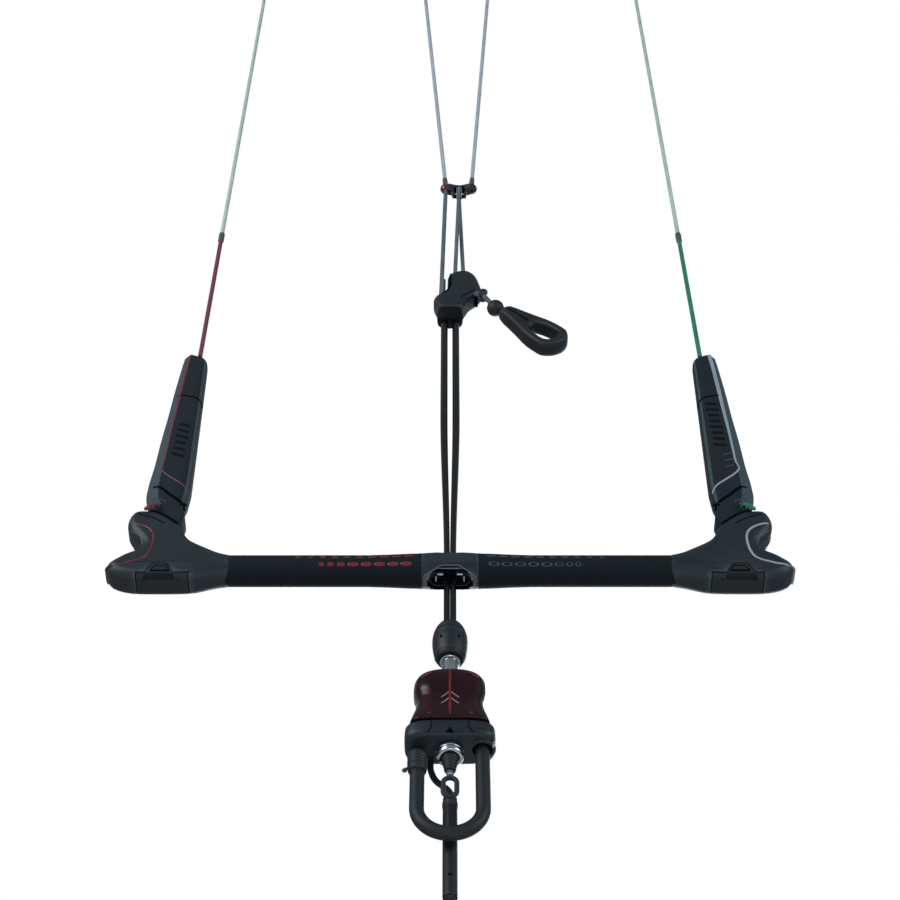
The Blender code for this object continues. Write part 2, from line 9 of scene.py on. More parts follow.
import bmesh
import bpy
import numpy as np
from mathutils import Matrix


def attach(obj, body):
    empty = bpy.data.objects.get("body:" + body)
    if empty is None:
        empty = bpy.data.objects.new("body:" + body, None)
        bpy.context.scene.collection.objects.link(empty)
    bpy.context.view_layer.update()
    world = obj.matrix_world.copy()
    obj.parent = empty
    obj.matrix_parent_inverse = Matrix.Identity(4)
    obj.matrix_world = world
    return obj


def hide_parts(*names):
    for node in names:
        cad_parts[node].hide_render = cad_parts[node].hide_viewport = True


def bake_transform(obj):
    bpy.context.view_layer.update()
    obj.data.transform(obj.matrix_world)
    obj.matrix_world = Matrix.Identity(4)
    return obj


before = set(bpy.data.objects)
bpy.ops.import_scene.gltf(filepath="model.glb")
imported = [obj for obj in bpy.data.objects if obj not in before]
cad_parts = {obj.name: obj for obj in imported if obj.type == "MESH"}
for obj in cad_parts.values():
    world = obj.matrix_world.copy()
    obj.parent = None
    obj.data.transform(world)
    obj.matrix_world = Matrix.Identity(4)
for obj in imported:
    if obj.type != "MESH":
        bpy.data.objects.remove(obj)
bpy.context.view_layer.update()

MM = 0.001
BAR_HEIGHT = -1.07  # the bar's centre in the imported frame, in metres
WEAVE = "weave"  # the map that a pattern along and round a piece reads
Array = np.ndarray
Point = Sequence[float]
Object = bpy.types.Object
log = logging.getLogger("control_bar")


# ---------------------------------------------------------------- shapes


def placed(points: Any) -> Array:
    """Bar millimetres, counted from the bar's centre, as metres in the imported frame."""
    return np.asarray(points, float) * MM + (0.0, 0.0, BAR_HEIGHT)


def turn_of(sides: int, start: float = 0.0) -> Array:
    """Even angles round one full turn."""
    return start + 2 * math.pi * np.arange(sides) / sides


def squared(value: Array, power: Any) -> Array:
    """A sine or cosine drawn towards a square: its size to the power 2/p, with its sign kept."""
    return np.sign(value) * np.abs(value) ** (2.0 / power)


def through(points: Any, per: int = 8, closed: bool = False) -> Array:
    """A smooth line through given points: the Catmull-Rom cubic of each four neighbours.

    Args:
        points: The points, of any number of coordinates.
        per: How many new points each stretch gets.
        closed: Whether the line runs back into its start.

    Returns:
        The new points, one row each.
    """
    p = np.asarray(points, float)
    ring = np.vstack([p[-1:], p, p[:2]]) if closed else np.vstack([2 * p[0] - p[1], p, 2 * p[-1] - p[-2]])
    pieces = len(ring) - 3
    t = np.linspace(0, pieces, per * pieces + (not closed), endpoint=not closed)
    i = np.minimum(t.astype(int), pieces - 1)
    f = (t - i)[:, None]
    a, b, c, d = ring[i], ring[i + 1], ring[i + 2], ring[i + 3]
    return 0.5 * (2 * b + (c - a) * f + (2 * a - 5 * b + 4 * c - d) * f**2 + (3 * b - a - 3 * c + d) * f**3)


def evened(line: Array, count: int, closed: bool = False) -> Array:
    """The same line with its points at even steps along it.

    Args:
        line: The points of the line.
        count: How many points it gets.
        closed: Whether it runs back into its start.

    Returns:
        The new points, one row each.
    """
    whole = np.vstack([line, line[:1]]) if closed else np.asarray(line, float)
    run = np.r_[0, np.cumsum(np.linalg.norm(np.diff(whole, axis=0), axis=1))]
    want = np.linspace(0, run[-1], count, endpoint=not closed)
    return np.stack([np.interp(want, run, column) for column in whole.T], axis=1)


def rounded(outline: Any, rounds: int = 2, share: float = 0.25) -> Array:
    """A closed outline with its corners cut: each side keeps the stretch between two shares of its length.

    Args:
        outline: The corners, whose further columns are cut down with them.
        rounds: How many times the corners are cut.
        share: The share of a side that is cut off at each of its ends.

    Returns:
        The new outline, with twice the points after each round.
    """
    line = np.asarray(outline, float)
    for _ in range(rounds):
        after = np.roll(line, -1, axis=0)
        line = np.stack([line * (1 - share) + after * share, line * share + after * (1 - share)], 1)
        line = line.reshape(-1, line.shape[2])
    return line


def arc(centre: Point, radius: float, start: float, end: float, steps: int = 12) -> Array:
    """Points round a centre in a plane, from one angle to another in degrees."""
    t = np.radians(np.linspace(start, end, steps + 1))
    return np.stack([centre[0] + radius * np.cos(t), centre[1] + radius * np.sin(t)], 1)


def swept(path: Any, half: Any, sides: int = 16, across: Point = (0, 1, 0), closed: bool = False,
          power: float = 2.0) -> Array:
    """An oval carried along a path: the path plus its side direction times a half width times the cosine, plus
    the third direction times a half depth times the sine.

    Args:
        path: The points of the centre line, one row each.
        half: The radius, or the half width and half depth, for all rows or one for each.
        sides: The number of points round the oval.
        across: A direction that the path never runs along. The half depth is measured along it.
        closed: Whether the path is a loop.
        power: 2 for an oval, more for a squarer one.

    Returns:
        The grid, one row for each point of the path.
    """
    path = np.asarray(path, float)
    run = np.roll(path, -1, 0) - np.roll(path, 1, 0) if closed else np.gradient(path, axis=0)
    run /= np.linalg.norm(run, axis=1, keepdims=True)
    side = np.cross(np.broadcast_to(np.asarray(across, float), run.shape), run)
    side /= np.linalg.norm(side, axis=1, keepdims=True)
    third = np.cross(run, side)
    size = np.broadcast_to(np.atleast_2d(np.asarray(half, float)), (len(path), 2))
    t = turn_of(sides)
    wide = size[:, :1] * squared(np.cos(t), power)
    deep = size[:, 1:] * squared(np.sin(t), power)
    return path[:, None] + wide[..., None] * side[:, None] + deep[..., None] * third[:, None]


def turned(profile: Any, sides: int = 48, axis: str = "z", centre: Point = (0, 0, 0)) -> Array:
    """A profile of radius and distance, carried round an axis: radius times cosine and sine of the turn.

    Args:
        profile: Rows of radius and distance along the axis.
        sides: The number of points round.
        axis: x, y or z.
        centre: A point on the axis, from which the distances count.

    Returns:
        The grid, one row for each point of the profile.
    """
    radius, along = np.asarray(profile, float).T[..., None]
    t = turn_of(sides)
    a, b, run = radius * np.cos(t), radius * np.sin(t), along + 0 * t
    return np.stack({"z": (a, b, run), "x": (run, a, b), "y": (b, run, a)}[axis], 2) + centre


def ovals(stations: Any, sides: int = 64, per: int = 6) -> Array:
    """Level ovals stacked up Z, smoothly from one station to the next.

    Args:
        stations: Rows of height, centre x and y, half width, half depth and squareness.
        sides: The number of points round each oval.
        per: How many ovals each stretch between stations gets.

    Returns:
        The grid, one row for each oval.
    """
    rows = through(stations, per).T[..., None]
    t = turn_of(sides)
    x = rows[1] + rows[3] * squared(np.cos(t), rows[5])
    y = rows[2] + rows[4] * squared(np.sin(t), rows[5])
    return np.stack([x, y, rows[0] + 0 * t], 2)


def slab(outline: Any, low: float, high: float, edge: Any = 1.0, steps: int = 4, sides: str = "both") -> Array:
    """An outline in the XZ plane carried along Y, drawn in at its faces by a quarter circle of the edge radius.

    Args:
        outline: Rows of x and z round the shape.
        low: The front face's y.
        high: The back face's y.
        edge: The radius of the rounded edges, one for all or one for each point.
        steps: The number of steps round an edge.
        sides: Which faces are rounded: both, low or high.

    Returns:
        The grid, one row for each step from front to back.
    """
    line = np.asarray(outline, float)[:, :2]
    edge = np.broadcast_to(np.asarray(edge, float), (len(line),))
    run = np.roll(line, -1, 0) - np.roll(line, 1, 0)
    out = np.stack([run[:, 1], -run[:, 0]], 1) / np.linalg.norm(run, axis=1, keepdims=True)
    area = np.sum(line[:, 0] * np.roll(line[:, 1], -1) - np.roll(line[:, 0], -1) * line[:, 1])
    out *= np.sign(area)
    t = np.linspace(0, math.pi / 2, steps + 1)[:, None]
    inset, depth = edge * (1 - np.sin(t)), edge * (1 - np.cos(t))
    none = np.zeros((1, len(line)))
    front = (inset, low + depth) if sides != "high" else (none, low + none)
    back = (inset[::-1], high - depth[::-1]) if sides != "low" else (none, high + none)
    inset, y = np.vstack([front[0], back[0]]), np.vstack([front[1], back[1]])
    flat = line[None] - inset[..., None] * out[None]
    return np.stack([flat[..., 0], y, flat[..., 1]], 2)


def band(outer: Array, inner: Array, low: float, high: float, steps: int = 20, power: float = 4.0) -> Array:
    """A ring between two matching outlines in the XZ plane: a squared oval, whose width runs from the inner
    outline to the outer one and whose depth runs from low to high along Y.

    Args:
        outer: The outer outline's x and z.
        inner: The inner outline's x and z, point for point.
        low: The front face's y.
        high: The back face's y.
        steps: The number of points round the squared oval.
        power: Its squareness.

    Returns:
        The grid, one row for each of those points.
    """
    t = turn_of(steps)[:, None]
    share = 0.5 + 0.5 * squared(np.cos(t), power)
    y = (low + high) / 2 + (high - low) / 2 * squared(np.sin(t), power) + 0 * outer[None, :, 0]
    flat = inner[None] * (1 - share[..., None]) + outer[None] * share[..., None]
    return np.stack([flat[..., 0], y, flat[..., 1]], 2)


def by_turn(line: Array, sides: int, centre: Point = (0, 0), fine: int = 1200) -> Array:
    """An outline's point at each even turn, seen from a centre.

    Args:
        line: The outline.
        sides: The number of turns.
        centre: The point that the turns are seen from.
        fine: How many even steps the outline is first cut into.

    Returns:
        The points, one row each.
    """
    smooth = evened(line, fine, closed=True)
    turn = np.mod(np.arctan2(*(smooth - centre).T[::-1]), 2 * math.pi)
    order = np.argsort(turn)
    columns = smooth[order].T
    return np.stack([np.interp(turn_of(sides), turn[order], column, period=2 * math.pi) for column in columns], 1)


def racetrack(half_x: float, half_y: float, sides: int) -> Array:
    """A slot with round ends, as points at even turns seen from its middle.

    Args:
        half_x: Half its length.
        half_y: Half its width, which is the radius of its ends.
        sides: The number of points.

    Returns:
        The points, one row each.
    """
    middle = half_x - half_y
    ends = [arc((middle, 0), half_y, -90, 90, 24), arc((-middle, 0), half_y, 90, 270, 24)]
    return by_turn(np.vstack(ends), sides)


def domed(outline: Any, half_depth: float, flat: Array) -> Array:
    """The half depth of a slab over points of its plan: full inside, down a quarter circle at the outline.

    Args:
        outline: Rows of x, z and edge radius.
        half_depth: The half depth inside.
        flat: The x and z of the points.

    Returns:
        The half depth at each point.
    """
    line = evened(rounded(outline, 2), 700, closed=True)
    gap = np.linalg.norm(flat[:, None, :2] - line[None, :, :2], axis=2)
    edge, gap = line[gap.argmin(axis=1), 2], gap.min(axis=1)
    return half_depth - edge + np.sqrt(edge**2 - (edge - np.minimum(gap, edge)) ** 2)


def mirrored(points: Any, sign: int) -> Array:
    """The same points with their x turned to the given side."""
    return np.asarray(points, float) * ([sign] + [1] * (np.shape(points)[-1] - 1))


# ---------------------------------------------------------------- finishes


class Wire:
    """An output of a node. Arithmetic on it adds Math nodes."""

    def __init__(self, bench: "Bench", node: bpy.types.Node, output: Any = 0) -> None:
        """Keeps the node and which of its outputs is meant.

        Args:
            bench: The tree that the node is in.
            node: The node.
            output: The output's number or name.
        """
        self.bench, self.node, self.socket = bench, node, node.outputs[output]

    def __getitem__(self, output: Any) -> "Wire":
        """Another output of the same node."""
        return Wire(self.bench, self.node, output)

    def math(self, kind: str, *others: Any, clamp: bool = False) -> "Wire":
        """A Math node of the given kind, with this output as its first value."""
        return self.bench.add("Math", {"operation": kind, "use_clamp": clamp}, dict(enumerate((self, *others))))

    def __add__(self, other: Any) -> "Wire":
        """This plus other."""
        return self.math("ADD", other)

    def __mul__(self, other: Any) -> "Wire":
        """This times other."""
        return self.math("MULTIPLY", other)

    def __sub__(self, other: Any) -> "Wire":
        """This less other."""
        return self.math("SUBTRACT", other)

    def __rsub__(self, other: Any) -> "Wire":
        """Other less this."""
        return self.bench.add("Math", {"operation": "SUBTRACT"}, {0: other, 1: self})

    __radd__, __rmul__ = __add__, __mul__


class Bench:
    """The node tree of one material."""

    def __init__(self, name: str) -> None:
        """Starts an empty material.

        Args:
            name: Its name.
        """
        self.material = bpy.data.materials.new(name)
        self.material.use_nodes = True
        self.tree = self.material.node_tree
        self.tree.nodes.clear()

    def add(self, kind: str, settings: dict[str, Any] | None = None,
            values: dict[Any, Any] | None = None) -> Wire:
        """Adds a node.

        Args:
            kind: The node's type, without its ShaderNode prefix.
            settings: Its own settings, set first.
            values: What each of its sockets gets: a number, a colour, or a Wire.

        Returns:
            The node's first output.
        """
        node = self.tree.nodes.new("ShaderNode" + kind)
        for key, value in (settings or {}).items():
            setattr(node, key, value)
        for key, value in (values or {}).items():
            if isinstance(value, Wire):
                self.tree.links.new(value.socket, node.inputs[key])
            else:
                node.inputs[key].default_value = value
        return Wire(self, node) if node.outputs else None

    def noise(self, spot: Wire, scale: float, detail: float = 2.0) -> Wire:
        """Cloudy noise from 0 to 1 with that many clouds in a metre."""
        return self.add("TexNoise", {}, {"Vector": spot, "Scale": scale, "Detail": detail})["Fac"]

    def blended(self, share: Any, first: Any, second: Any) -> Wire:
        """A colour between two, by share."""
        return self.add("Mix", {"data_type": "RGBA"}, {0: share, 6: first, 7: second})[2]


def paint(code: str) -> tuple[float, float, float, float]:
    """A screen colour such as 2b333a as the light values that a shader takes."""
    parts = [int(code[i:i + 2], 16) / 255 for i in (0, 2, 4)]
    return (*((c / 12.92 if c < 0.04 else ((c + 0.055) / 1.055) ** 2.4) for c in parts), 1.0)


class Grain(Enum):
    """What a surface is like when looked at closely."""

    MOULDED = "spark-eroded plastic"
    FOAM = "closed-cell foam"
    BRAIDED = "braided line"
    WHIPPED = "whipping twine"
    BRUSHED = "drawn or brushed metal"
    POLISHED = "smooth plastic"
    CLEAR = "clear tinted plastic"


@dataclass(frozen=True)
class Finish:
    """One finish: its colours, gloss and grain."""

    name: str
    slot: str
    grain: Grain
    colour: str
    second: str
    roughness: float
    relief: float = 0.2
    scale: float = 2600.0
    coat: float = 0.0
    metallic: float = 0.0
    # How much sharp convex edges are paled: edge wear together with a painted highlight.
    wear_and_sheen: float = 0.0
    strands: int = 4
    pitch: float = 3.2
    shine: float = 0.5

    def material(self) -> bpy.types.Material:
        """The material, made the first time it is asked for.

        Returns:
            The material.
        """
        known = bpy.data.materials.get(self.name)
        if known:
            return known
        bench = Bench(self.name)
        spot = bench.add("TexCoord")["Object"]
        slow = bench.noise(spot, 45.0, 3.0)
        height, share = self.pattern(bench, spot)
        colour = bench.blended((slow * 0.9 + share * 1.1 - 0.5).math("MULTIPLY", 1.0, clamp=True),
                               paint(self.colour), paint(self.second))
        # Painted highlight with edge wear: sharp convex edges are blended towards a pale grey.
        if self.wear_and_sheen:
            point = bench.add("NewGeometry")["Pointiness"]
            edge = ((point - 0.51) * 9.0).math("MULTIPLY", self.wear_and_sheen, clamp=True)
            colour = bench.blended(edge, colour, paint("7d8790"))
        gloss = self.roughness + (slow - 0.5) * 0.12 + (height - 0.5) * 0.1
        bump = bench.add("Bump", {}, {"Strength": self.relief, "Distance": 0.0004, "Height": height})
        skin = bench.add("BsdfPrincipled", {}, {
            "Base Color": colour, "Roughness": gloss, "Metallic": self.metallic, "Coat Weight": self.coat,
            "Coat Roughness": 0.12, "Normal": bump})
        if self.grain is Grain.CLEAR:
            skin.node.inputs["Transmission Weight"].default_value = 0.35
            skin.node.inputs["IOR"].default_value = 1.49
        skin.node.inputs["Specular IOR Level"].default_value = self.shine
        bench.add("OutputMaterial", {}, {"Surface": skin})
        return bench.material

    def pattern(self, bench: Bench, spot: Wire) -> tuple[Wire, Wire]:
        """The height of the grain and the share of the second colour, each about 0 to 1.

        Args:
            bench: The material's tree.
            spot: The place on the piece.

        Returns:
            The height and the share.
        """
        if self.grain in (Grain.BRAIDED, Grain.WHIPPED):
            chart = bench.add("SeparateXYZ", {}, {"Vector": bench.add("UVMap", {"uv_map": WEAVE})})
            along = chart["Y"] * (2 * math.pi * 100 / self.pitch)
            if self.grain is Grain.WHIPPED:
                height = along.math("SINE") * 0.5 + 0.5
                return height, height * 0.8
            around = chart["X"] * (2 * math.pi * self.strands)
            one, two = (around + along).math("SINE"), (around - along).math("SINE")
            height = one * two * 0.5 + 0.5
            return height, height * 0.7 + bench.noise(spot, 900.0) * 0.3
        if self.grain is Grain.FOAM:
            cells = bench.add("TexVoronoi", {}, {"Vector": spot, "Scale": self.scale})["Distance"]
            fine = bench.noise(spot, self.scale * 0.45, 3.0)
            return cells * 0.5 + fine * 0.6, fine
        if self.grain is Grain.BRUSHED:
            lain = bench.add("Mapping", {}, {"Vector": spot, "Scale": (1.0, 1.0, 0.06)})
            fine = bench.noise(lain, self.scale, 3.0)
            return fine, fine
        fine = bench.noise(spot, self.scale, 2.0)
        return fine, fine


CHARCOAL = Finish("charcoal_moulding", "charcoal", Grain.MOULDED, "10171b", "182126", 0.46, 0.28, 2400, wear_and_sheen=0.35,
                  shine=0.4)
PANEL = Finish("charcoal_panel", "charcoal", Grain.MOULDED, "0d1418", "141c21", 0.52, 0.2, 1800, shine=0.4)
# Pale charcoal, a lit copy of the charcoal: painted highlight on the hub's lip and on the edge of the bar end's
# lobe.
EDGE_HIGHLIGHT = Finish("hub_lip_grey", "charcoal", Grain.MOULDED, "39444b", "4a555c", 0.4, 0.15)
# Near-black charcoal: dark joints and seams, and painted shade in holes, hollows, grooves and by the cradle.
GROOVE_AND_SHADE = Finish("groove_black", "charcoal", Grain.MOULDED, "020304", "040506", 0.8, 0.1, shine=0.05)
FLOAT = Finish("float_foam_dark", "float_foam", Grain.FOAM, "121a1f", "1a242a", 0.72, 0.35, 1500, shine=0.22)
# Pale foam, a lit copy of the float's foam: painted highlight on the outer facet, along the inner edge and on a
# ridge near the base.
LIT_FOAM = Finish("float_foam_pale", "float_foam", Grain.FOAM, "343f46", "48545c", 0.7, 0.35, 1500, shine=0.22)
EMBOSS = Finish("float_emboss", "float_foam", Grain.MOULDED, "04070a", "070b0e", 0.5, 0.15, shine=0.12)
GRIP = Finish("grip_foam_black", "grip_foam", Grain.FOAM, "080e13", "0f171d", 0.8, 0.4, 1300, shine=0.22)
RED = Finish("accent_red", "bead_red", Grain.POLISHED, "5a0c1a", "861628", 0.4, 0.08, coat=0.2)
GREY = Finish("accent_grey", "charcoal", Grain.POLISHED, "2c343a", "3d464c", 0.4, 0.08)
SILVER = Finish("accent_silver", "line_grey", Grain.POLISHED, "7f888f", "9aa2a9", 0.35, 0.05)
BEAD = Finish("bead_glossy_red", "bead_red", Grain.POLISHED, "4a0913", "68101e", 0.18, 0.03, coat=0.6)
RUBBER = Finish("rubber_black", "rubber", Grain.MOULDED, "070b0e", "0e1418", 0.56, 0.25, 2000, wear_and_sheen=0.25, shine=0.4)
TUBE = Finish("tube_gloss_black", "tube_black", Grain.POLISHED, "04070a", "080c0f", 0.15, 0.03, coat=0.25,
              shine=0.35)
BOOT = Finish("boot_black", "rubber", Grain.MOULDED, "030506", "06090b", 0.62, 0.2, 2000, shine=0.15)
STEEL = Finish("steel_polished", "steel", Grain.BRUSHED, "a9adb1", "d0d3d6", 0.2, 0.05, 3000, metallic=1.0)
ALUMINIUM = Finish("aluminium_drawn", "aluminium", Grain.BRUSHED, "9a9ea3", "b7bbc0", 0.34, 0.08, 3000,
                   metallic=1.0)
CLEAR = Finish("release_clear_red", "clear_red", Grain.CLEAR, "1c0005", "35030b", 0.2, 0.004, 300, coat=0.05,
               shine=0.2)
# Bright red, a lit copy of the clear red: painted light showing through the handle's raised ridge, bars and dots.
GLINT_RED = Finish("release_bright_red", "clear_red", Grain.CLEAR, "6c0a15", "8c1022", 0.25, 0.02, 700, coat=0.2)
MARK = Finish("release_mark_pale", "clear_red", Grain.POLISHED, "6d5054", "8a6a6e", 0.4, 0.03)
LINE_RED = Finish("leader_red", "line_red", Grain.BRAIDED, "5a1c28", "843f4d", 0.7, 0.5)
LINE_GREEN = Finish("leader_green", "line_green", Grain.BRAIDED, "0f5f41", "2b8e68", 0.7, 0.5)
LINE_PALE = Finish("line_pale_green", "line_pale", Grain.BRAIDED, "93a595", "cdd8cb", 0.7, 0.5)
LINE_GREY = Finish("line_pale_grey", "line_grey", Grain.BRAIDED, "8b8f97", "c3c5cc", 0.7, 0.5)
TRIM_LINE = Finish("trim_line_grey", "line_grey", Grain.BRAIDED, "3a4147", "6d757c", 0.65, 0.5, pitch=2.4)
TWINE = Finish("whipping_dark", "line_grey", Grain.WHIPPED, "33373d", "62676e", 0.75, 0.6, pitch=0.9)


# ---------------------------------------------------------------- pieces


class Piece:
    """One mesh, gathered from grids in bar millimetres, that becomes an object riding on a body."""

    def __init__(self, name: str, body: str, finish: Finish) -> None:
        """Starts an empty piece.

        Args:
            name: The object's name.
            body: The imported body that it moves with.
            finish: What it is made of.
        """
        self.name, self.body, self.finish = name, body, finish
        self.points: list[Array] = []
        self.faces: list[list[int]] = []
        self.charts: list[Array] = []
        self.count = 0

    def add(self, grid: Array, loop: bool = False) -> "Piece":
        """Adds a grid whose columns run round and whose rows run along, capped at both ends unless it is a loop.

        Args:
            grid: Points as rows, columns and coordinates.
            loop: Whether the last row joins the first.

        Returns:
            The piece itself.
        """
        rows, columns = grid.shape[:2]
        index = self.count + np.arange(rows * columns).reshape(rows, columns)
        ahead = np.vstack([index, index[:1]]) if loop else index
        wide = np.hstack([ahead, ahead[:, :1]])
        quads = np.stack([wide[:-1, :-1], wide[:-1, 1:], wide[1:, 1:], wide[1:, :-1]], 2).reshape(-1, 4)
        middle = grid.mean(axis=1)
        run = np.r_[0, np.cumsum(np.linalg.norm(np.diff(middle, axis=0), axis=1))] * 0.01
        run = np.r_[run, run[-1] * rows / max(rows - 1, 1)] if loop else run
        u, v = np.meshgrid(np.linspace(0, 1, columns + 1), run)
        chart = np.stack([u, v], 2)
        corners = np.stack([chart[:-1, :-1], chart[:-1, 1:], chart[1:, 1:], chart[1:, :-1]], 2)
        self.points.append(grid.reshape(-1, 3))
        self.faces += quads.tolist()
        self.charts.append(corners.reshape(-1, 2))
        if not loop:
            self.faces += [index[0, ::-1].tolist(), index[-1].tolist()]
            self.charts.append(np.zeros((2 * columns, 2)))
        self.count += rows * columns
        return self

    def mesh(self) -> bpy.types.Mesh:
        """The mesh in metres, with its map, and with its faces turned outwards.

        Returns:
            The mesh.
        """
        mesh = bpy.data.meshes.new(self.name)
        mesh.from_pydata(placed(np.vstack(self.points)).tolist(), [], self.faces)
        chart = mesh.uv_layers.new(name=WEAVE)
        chart.data.foreach_set("uv", np.vstack(self.charts).astype(np.float32).ravel())
        work = bmesh.new()
        work.from_mesh(mesh)
        bmesh.ops.recalc_face_normals(work, faces=work.faces[:])
        work.to_mesh(mesh)
        work.free()
        return mesh

    def made(self, *nodes: str, sharp: float = 38.0, cuts: "Sequence[Piece]" = (),
             within: "Piece | None" = None, bevel: float = 0.0,
             between: tuple[str, str, Point, Point] | None = None) -> Object:
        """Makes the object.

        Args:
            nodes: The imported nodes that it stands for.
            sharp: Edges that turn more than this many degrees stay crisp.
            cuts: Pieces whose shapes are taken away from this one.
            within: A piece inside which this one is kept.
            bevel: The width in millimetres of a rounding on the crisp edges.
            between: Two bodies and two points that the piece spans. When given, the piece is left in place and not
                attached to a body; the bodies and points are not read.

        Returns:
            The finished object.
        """
        piece = bpy.data.objects.new(self.name, self.mesh())
        bpy.context.collection.objects.link(piece)
        for tool in cuts:
            self.carve(piece, tool, "DIFFERENCE")
        if within:
            self.carve(piece, within, "INTERSECT")
        mesh = piece.data
        mesh.materials.append(self.finish.material())
        sides = np.empty(len(mesh.polygons), np.int32)
        mesh.polygons.foreach_get("loop_total", sides)
        mesh.polygons.foreach_set("use_smooth", (sides <= 4) | bool(cuts or within))
        mesh.set_sharp_from_angle(angle=math.radians(sharp))
        if cuts or within:
            even = piece.modifiers.new("even_normals", "WEIGHTED_NORMAL")
            even.keep_sharp, even.weight = True, 90
        if bevel:
            soft = piece.modifiers.new("edges", "BEVEL")
            soft.width, soft.segments, soft.limit_method = bevel * MM, 2, "ANGLE"
            soft.angle_limit = math.radians(40)
        if between:
            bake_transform(piece)
        else:
            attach(piece, self.body)
        if nodes:
            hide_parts(*nodes)
        log.info("%s: %d faces on %s", self.name, len(mesh.polygons), self.body)
        return piece

    @staticmethod
    def carve(piece: Object, cut: "Piece", way: str) -> None:
        """Takes one shape from another, or keeps what lies in it, and keeps only the result.

        Args:
            piece: The object that is cut.
            cut: The shape that it is cut with.
            way: The Boolean's operation.
        """
        tool = bpy.data.objects.new(cut.name, cut.mesh())
        bpy.context.collection.objects.link(tool)
        step = piece.modifiers.new("cut", "BOOLEAN")
        step.operation, step.solver, step.object = way, "EXACT", tool
        graph = bpy.context.evaluated_depsgraph_get()
        done = bpy.data.meshes.new_from_object(piece.evaluated_get(graph), depsgraph=graph)
        piece.modifiers.clear()
        piece.data = done
        bpy.data.objects.remove(tool)


# ---------------------------------------------------------------- assemblies

KNUCKLE = (220.5, 58.0)  # the x and z of the axis that a float turns on in its bar end


class Side(Enum):
    """Which side of the bar a piece is on, with the sign of its x."""

    LEFT = -1
    RIGHT = 1

    @property
    def word(self) -> str:
        """The side's name as the nodes have it."""
        return self.name.lower()


@dataclass
class Lines:
    """The two front lines, and each float's leader and steering line, with their end loops."""

    radius: float = 2.0
    top: float = 1045.0
    float_x: float = 217.3

    def cord(self, name: str, start: Point, end: Point, body: str, finish: Finish) -> Object:
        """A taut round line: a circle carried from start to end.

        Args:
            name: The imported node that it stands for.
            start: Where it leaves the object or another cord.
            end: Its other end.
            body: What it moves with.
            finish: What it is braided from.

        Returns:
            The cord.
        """
        path = np.linspace(start, end, 26)
        piece = Piece(name + "_braid", body, finish).add(swept(path, self.radius, 18)).made(name)
        return piece

    def loop(self, node: str, x: float, body: str, finish: Finish) -> Object:
        """A sewn end loop: an oval carried round a long eye, below it a whipped sleeve.

        Args:
            node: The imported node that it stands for.
            x: Its middle across the bar.
            body: What it moves with.
            finish: What it is braided from.

        Returns:
            The eye.
        """
        eye = np.vstack([arc((x, 1065.4), 3.1, 0, 180, 14), [[x - 2.6, 1061.5], [x - 1.1, 1058.6]],
                         [[x + 1.1, 1058.6], [x + 2.6, 1061.5]]])
        path = through(np.insert(eye, 1, 0.0, axis=1), 3, closed=True)
        top = Piece(node + "_eye", body, finish).add(swept(path, (1.4, 1.5), 14, closed=True), loop=True).made(node)
        sleeve = [(2.0, 1045.4), (2.75, 1046.4), (2.8, 1058.2), (2.3, 1059.6)]
        Piece(node + "_whipping", body, TWINE).add(turned(sleeve, 24, centre=(x, 0, 0))).made()
        return top

    def build(self) -> None:
        """Makes every line, from its loop down."""
        for side, low_x, high_x in (("left", -4.3, -29.0), ("right", 21.2, 44.3)):
            eye = self.loop("front_line_end_" + side, high_x, "lines", LINE_GREY)
            self.cord("front_line_" + side, (low_x, 0, 591.6), (high_x, 0, self.top), "lines", LINE_GREY)
            lean = np.array((high_x - low_x, 0, self.top - 591.6)) / (self.top - 591.6)
            path = np.array((low_x, 0, 590.9)) + np.linspace(0.4, 15, 12)[:, None] * lean
            size = np.interp(np.arange(12), [0, 1, 10, 11], [2.3, 2.6, 2.45, 2.05])[:, None]
            Piece(f"front_line_whipping_{side}", "lines", TWINE).add(swept(path, size, 20)).made()
        for side, finish in ((Side.LEFT, LINE_RED), (Side.RIGHT, LINE_GREEN)):
            x, body = side.value * self.float_x, "float_" + side.word
            eye = self.loop("steering_line_end_" + side.word, x, body, LINE_PALE)
            self.cord("leader_" + side.word, (x, 0, 288.3), (x, 0, 491), body, finish)
            self.cord("steering_line_" + side.word, (x, 0, 491.3), (x, 0, self.top), body, LINE_PALE)
            knot = [(2.05, 484), (2.7, 485), (2.75, 497.5), (2.05, 498.5)]
            Piece(f"leader_joint_{side.word}", body, TWINE).add(turned(knot, 24, centre=(x, 0, 0))).made()


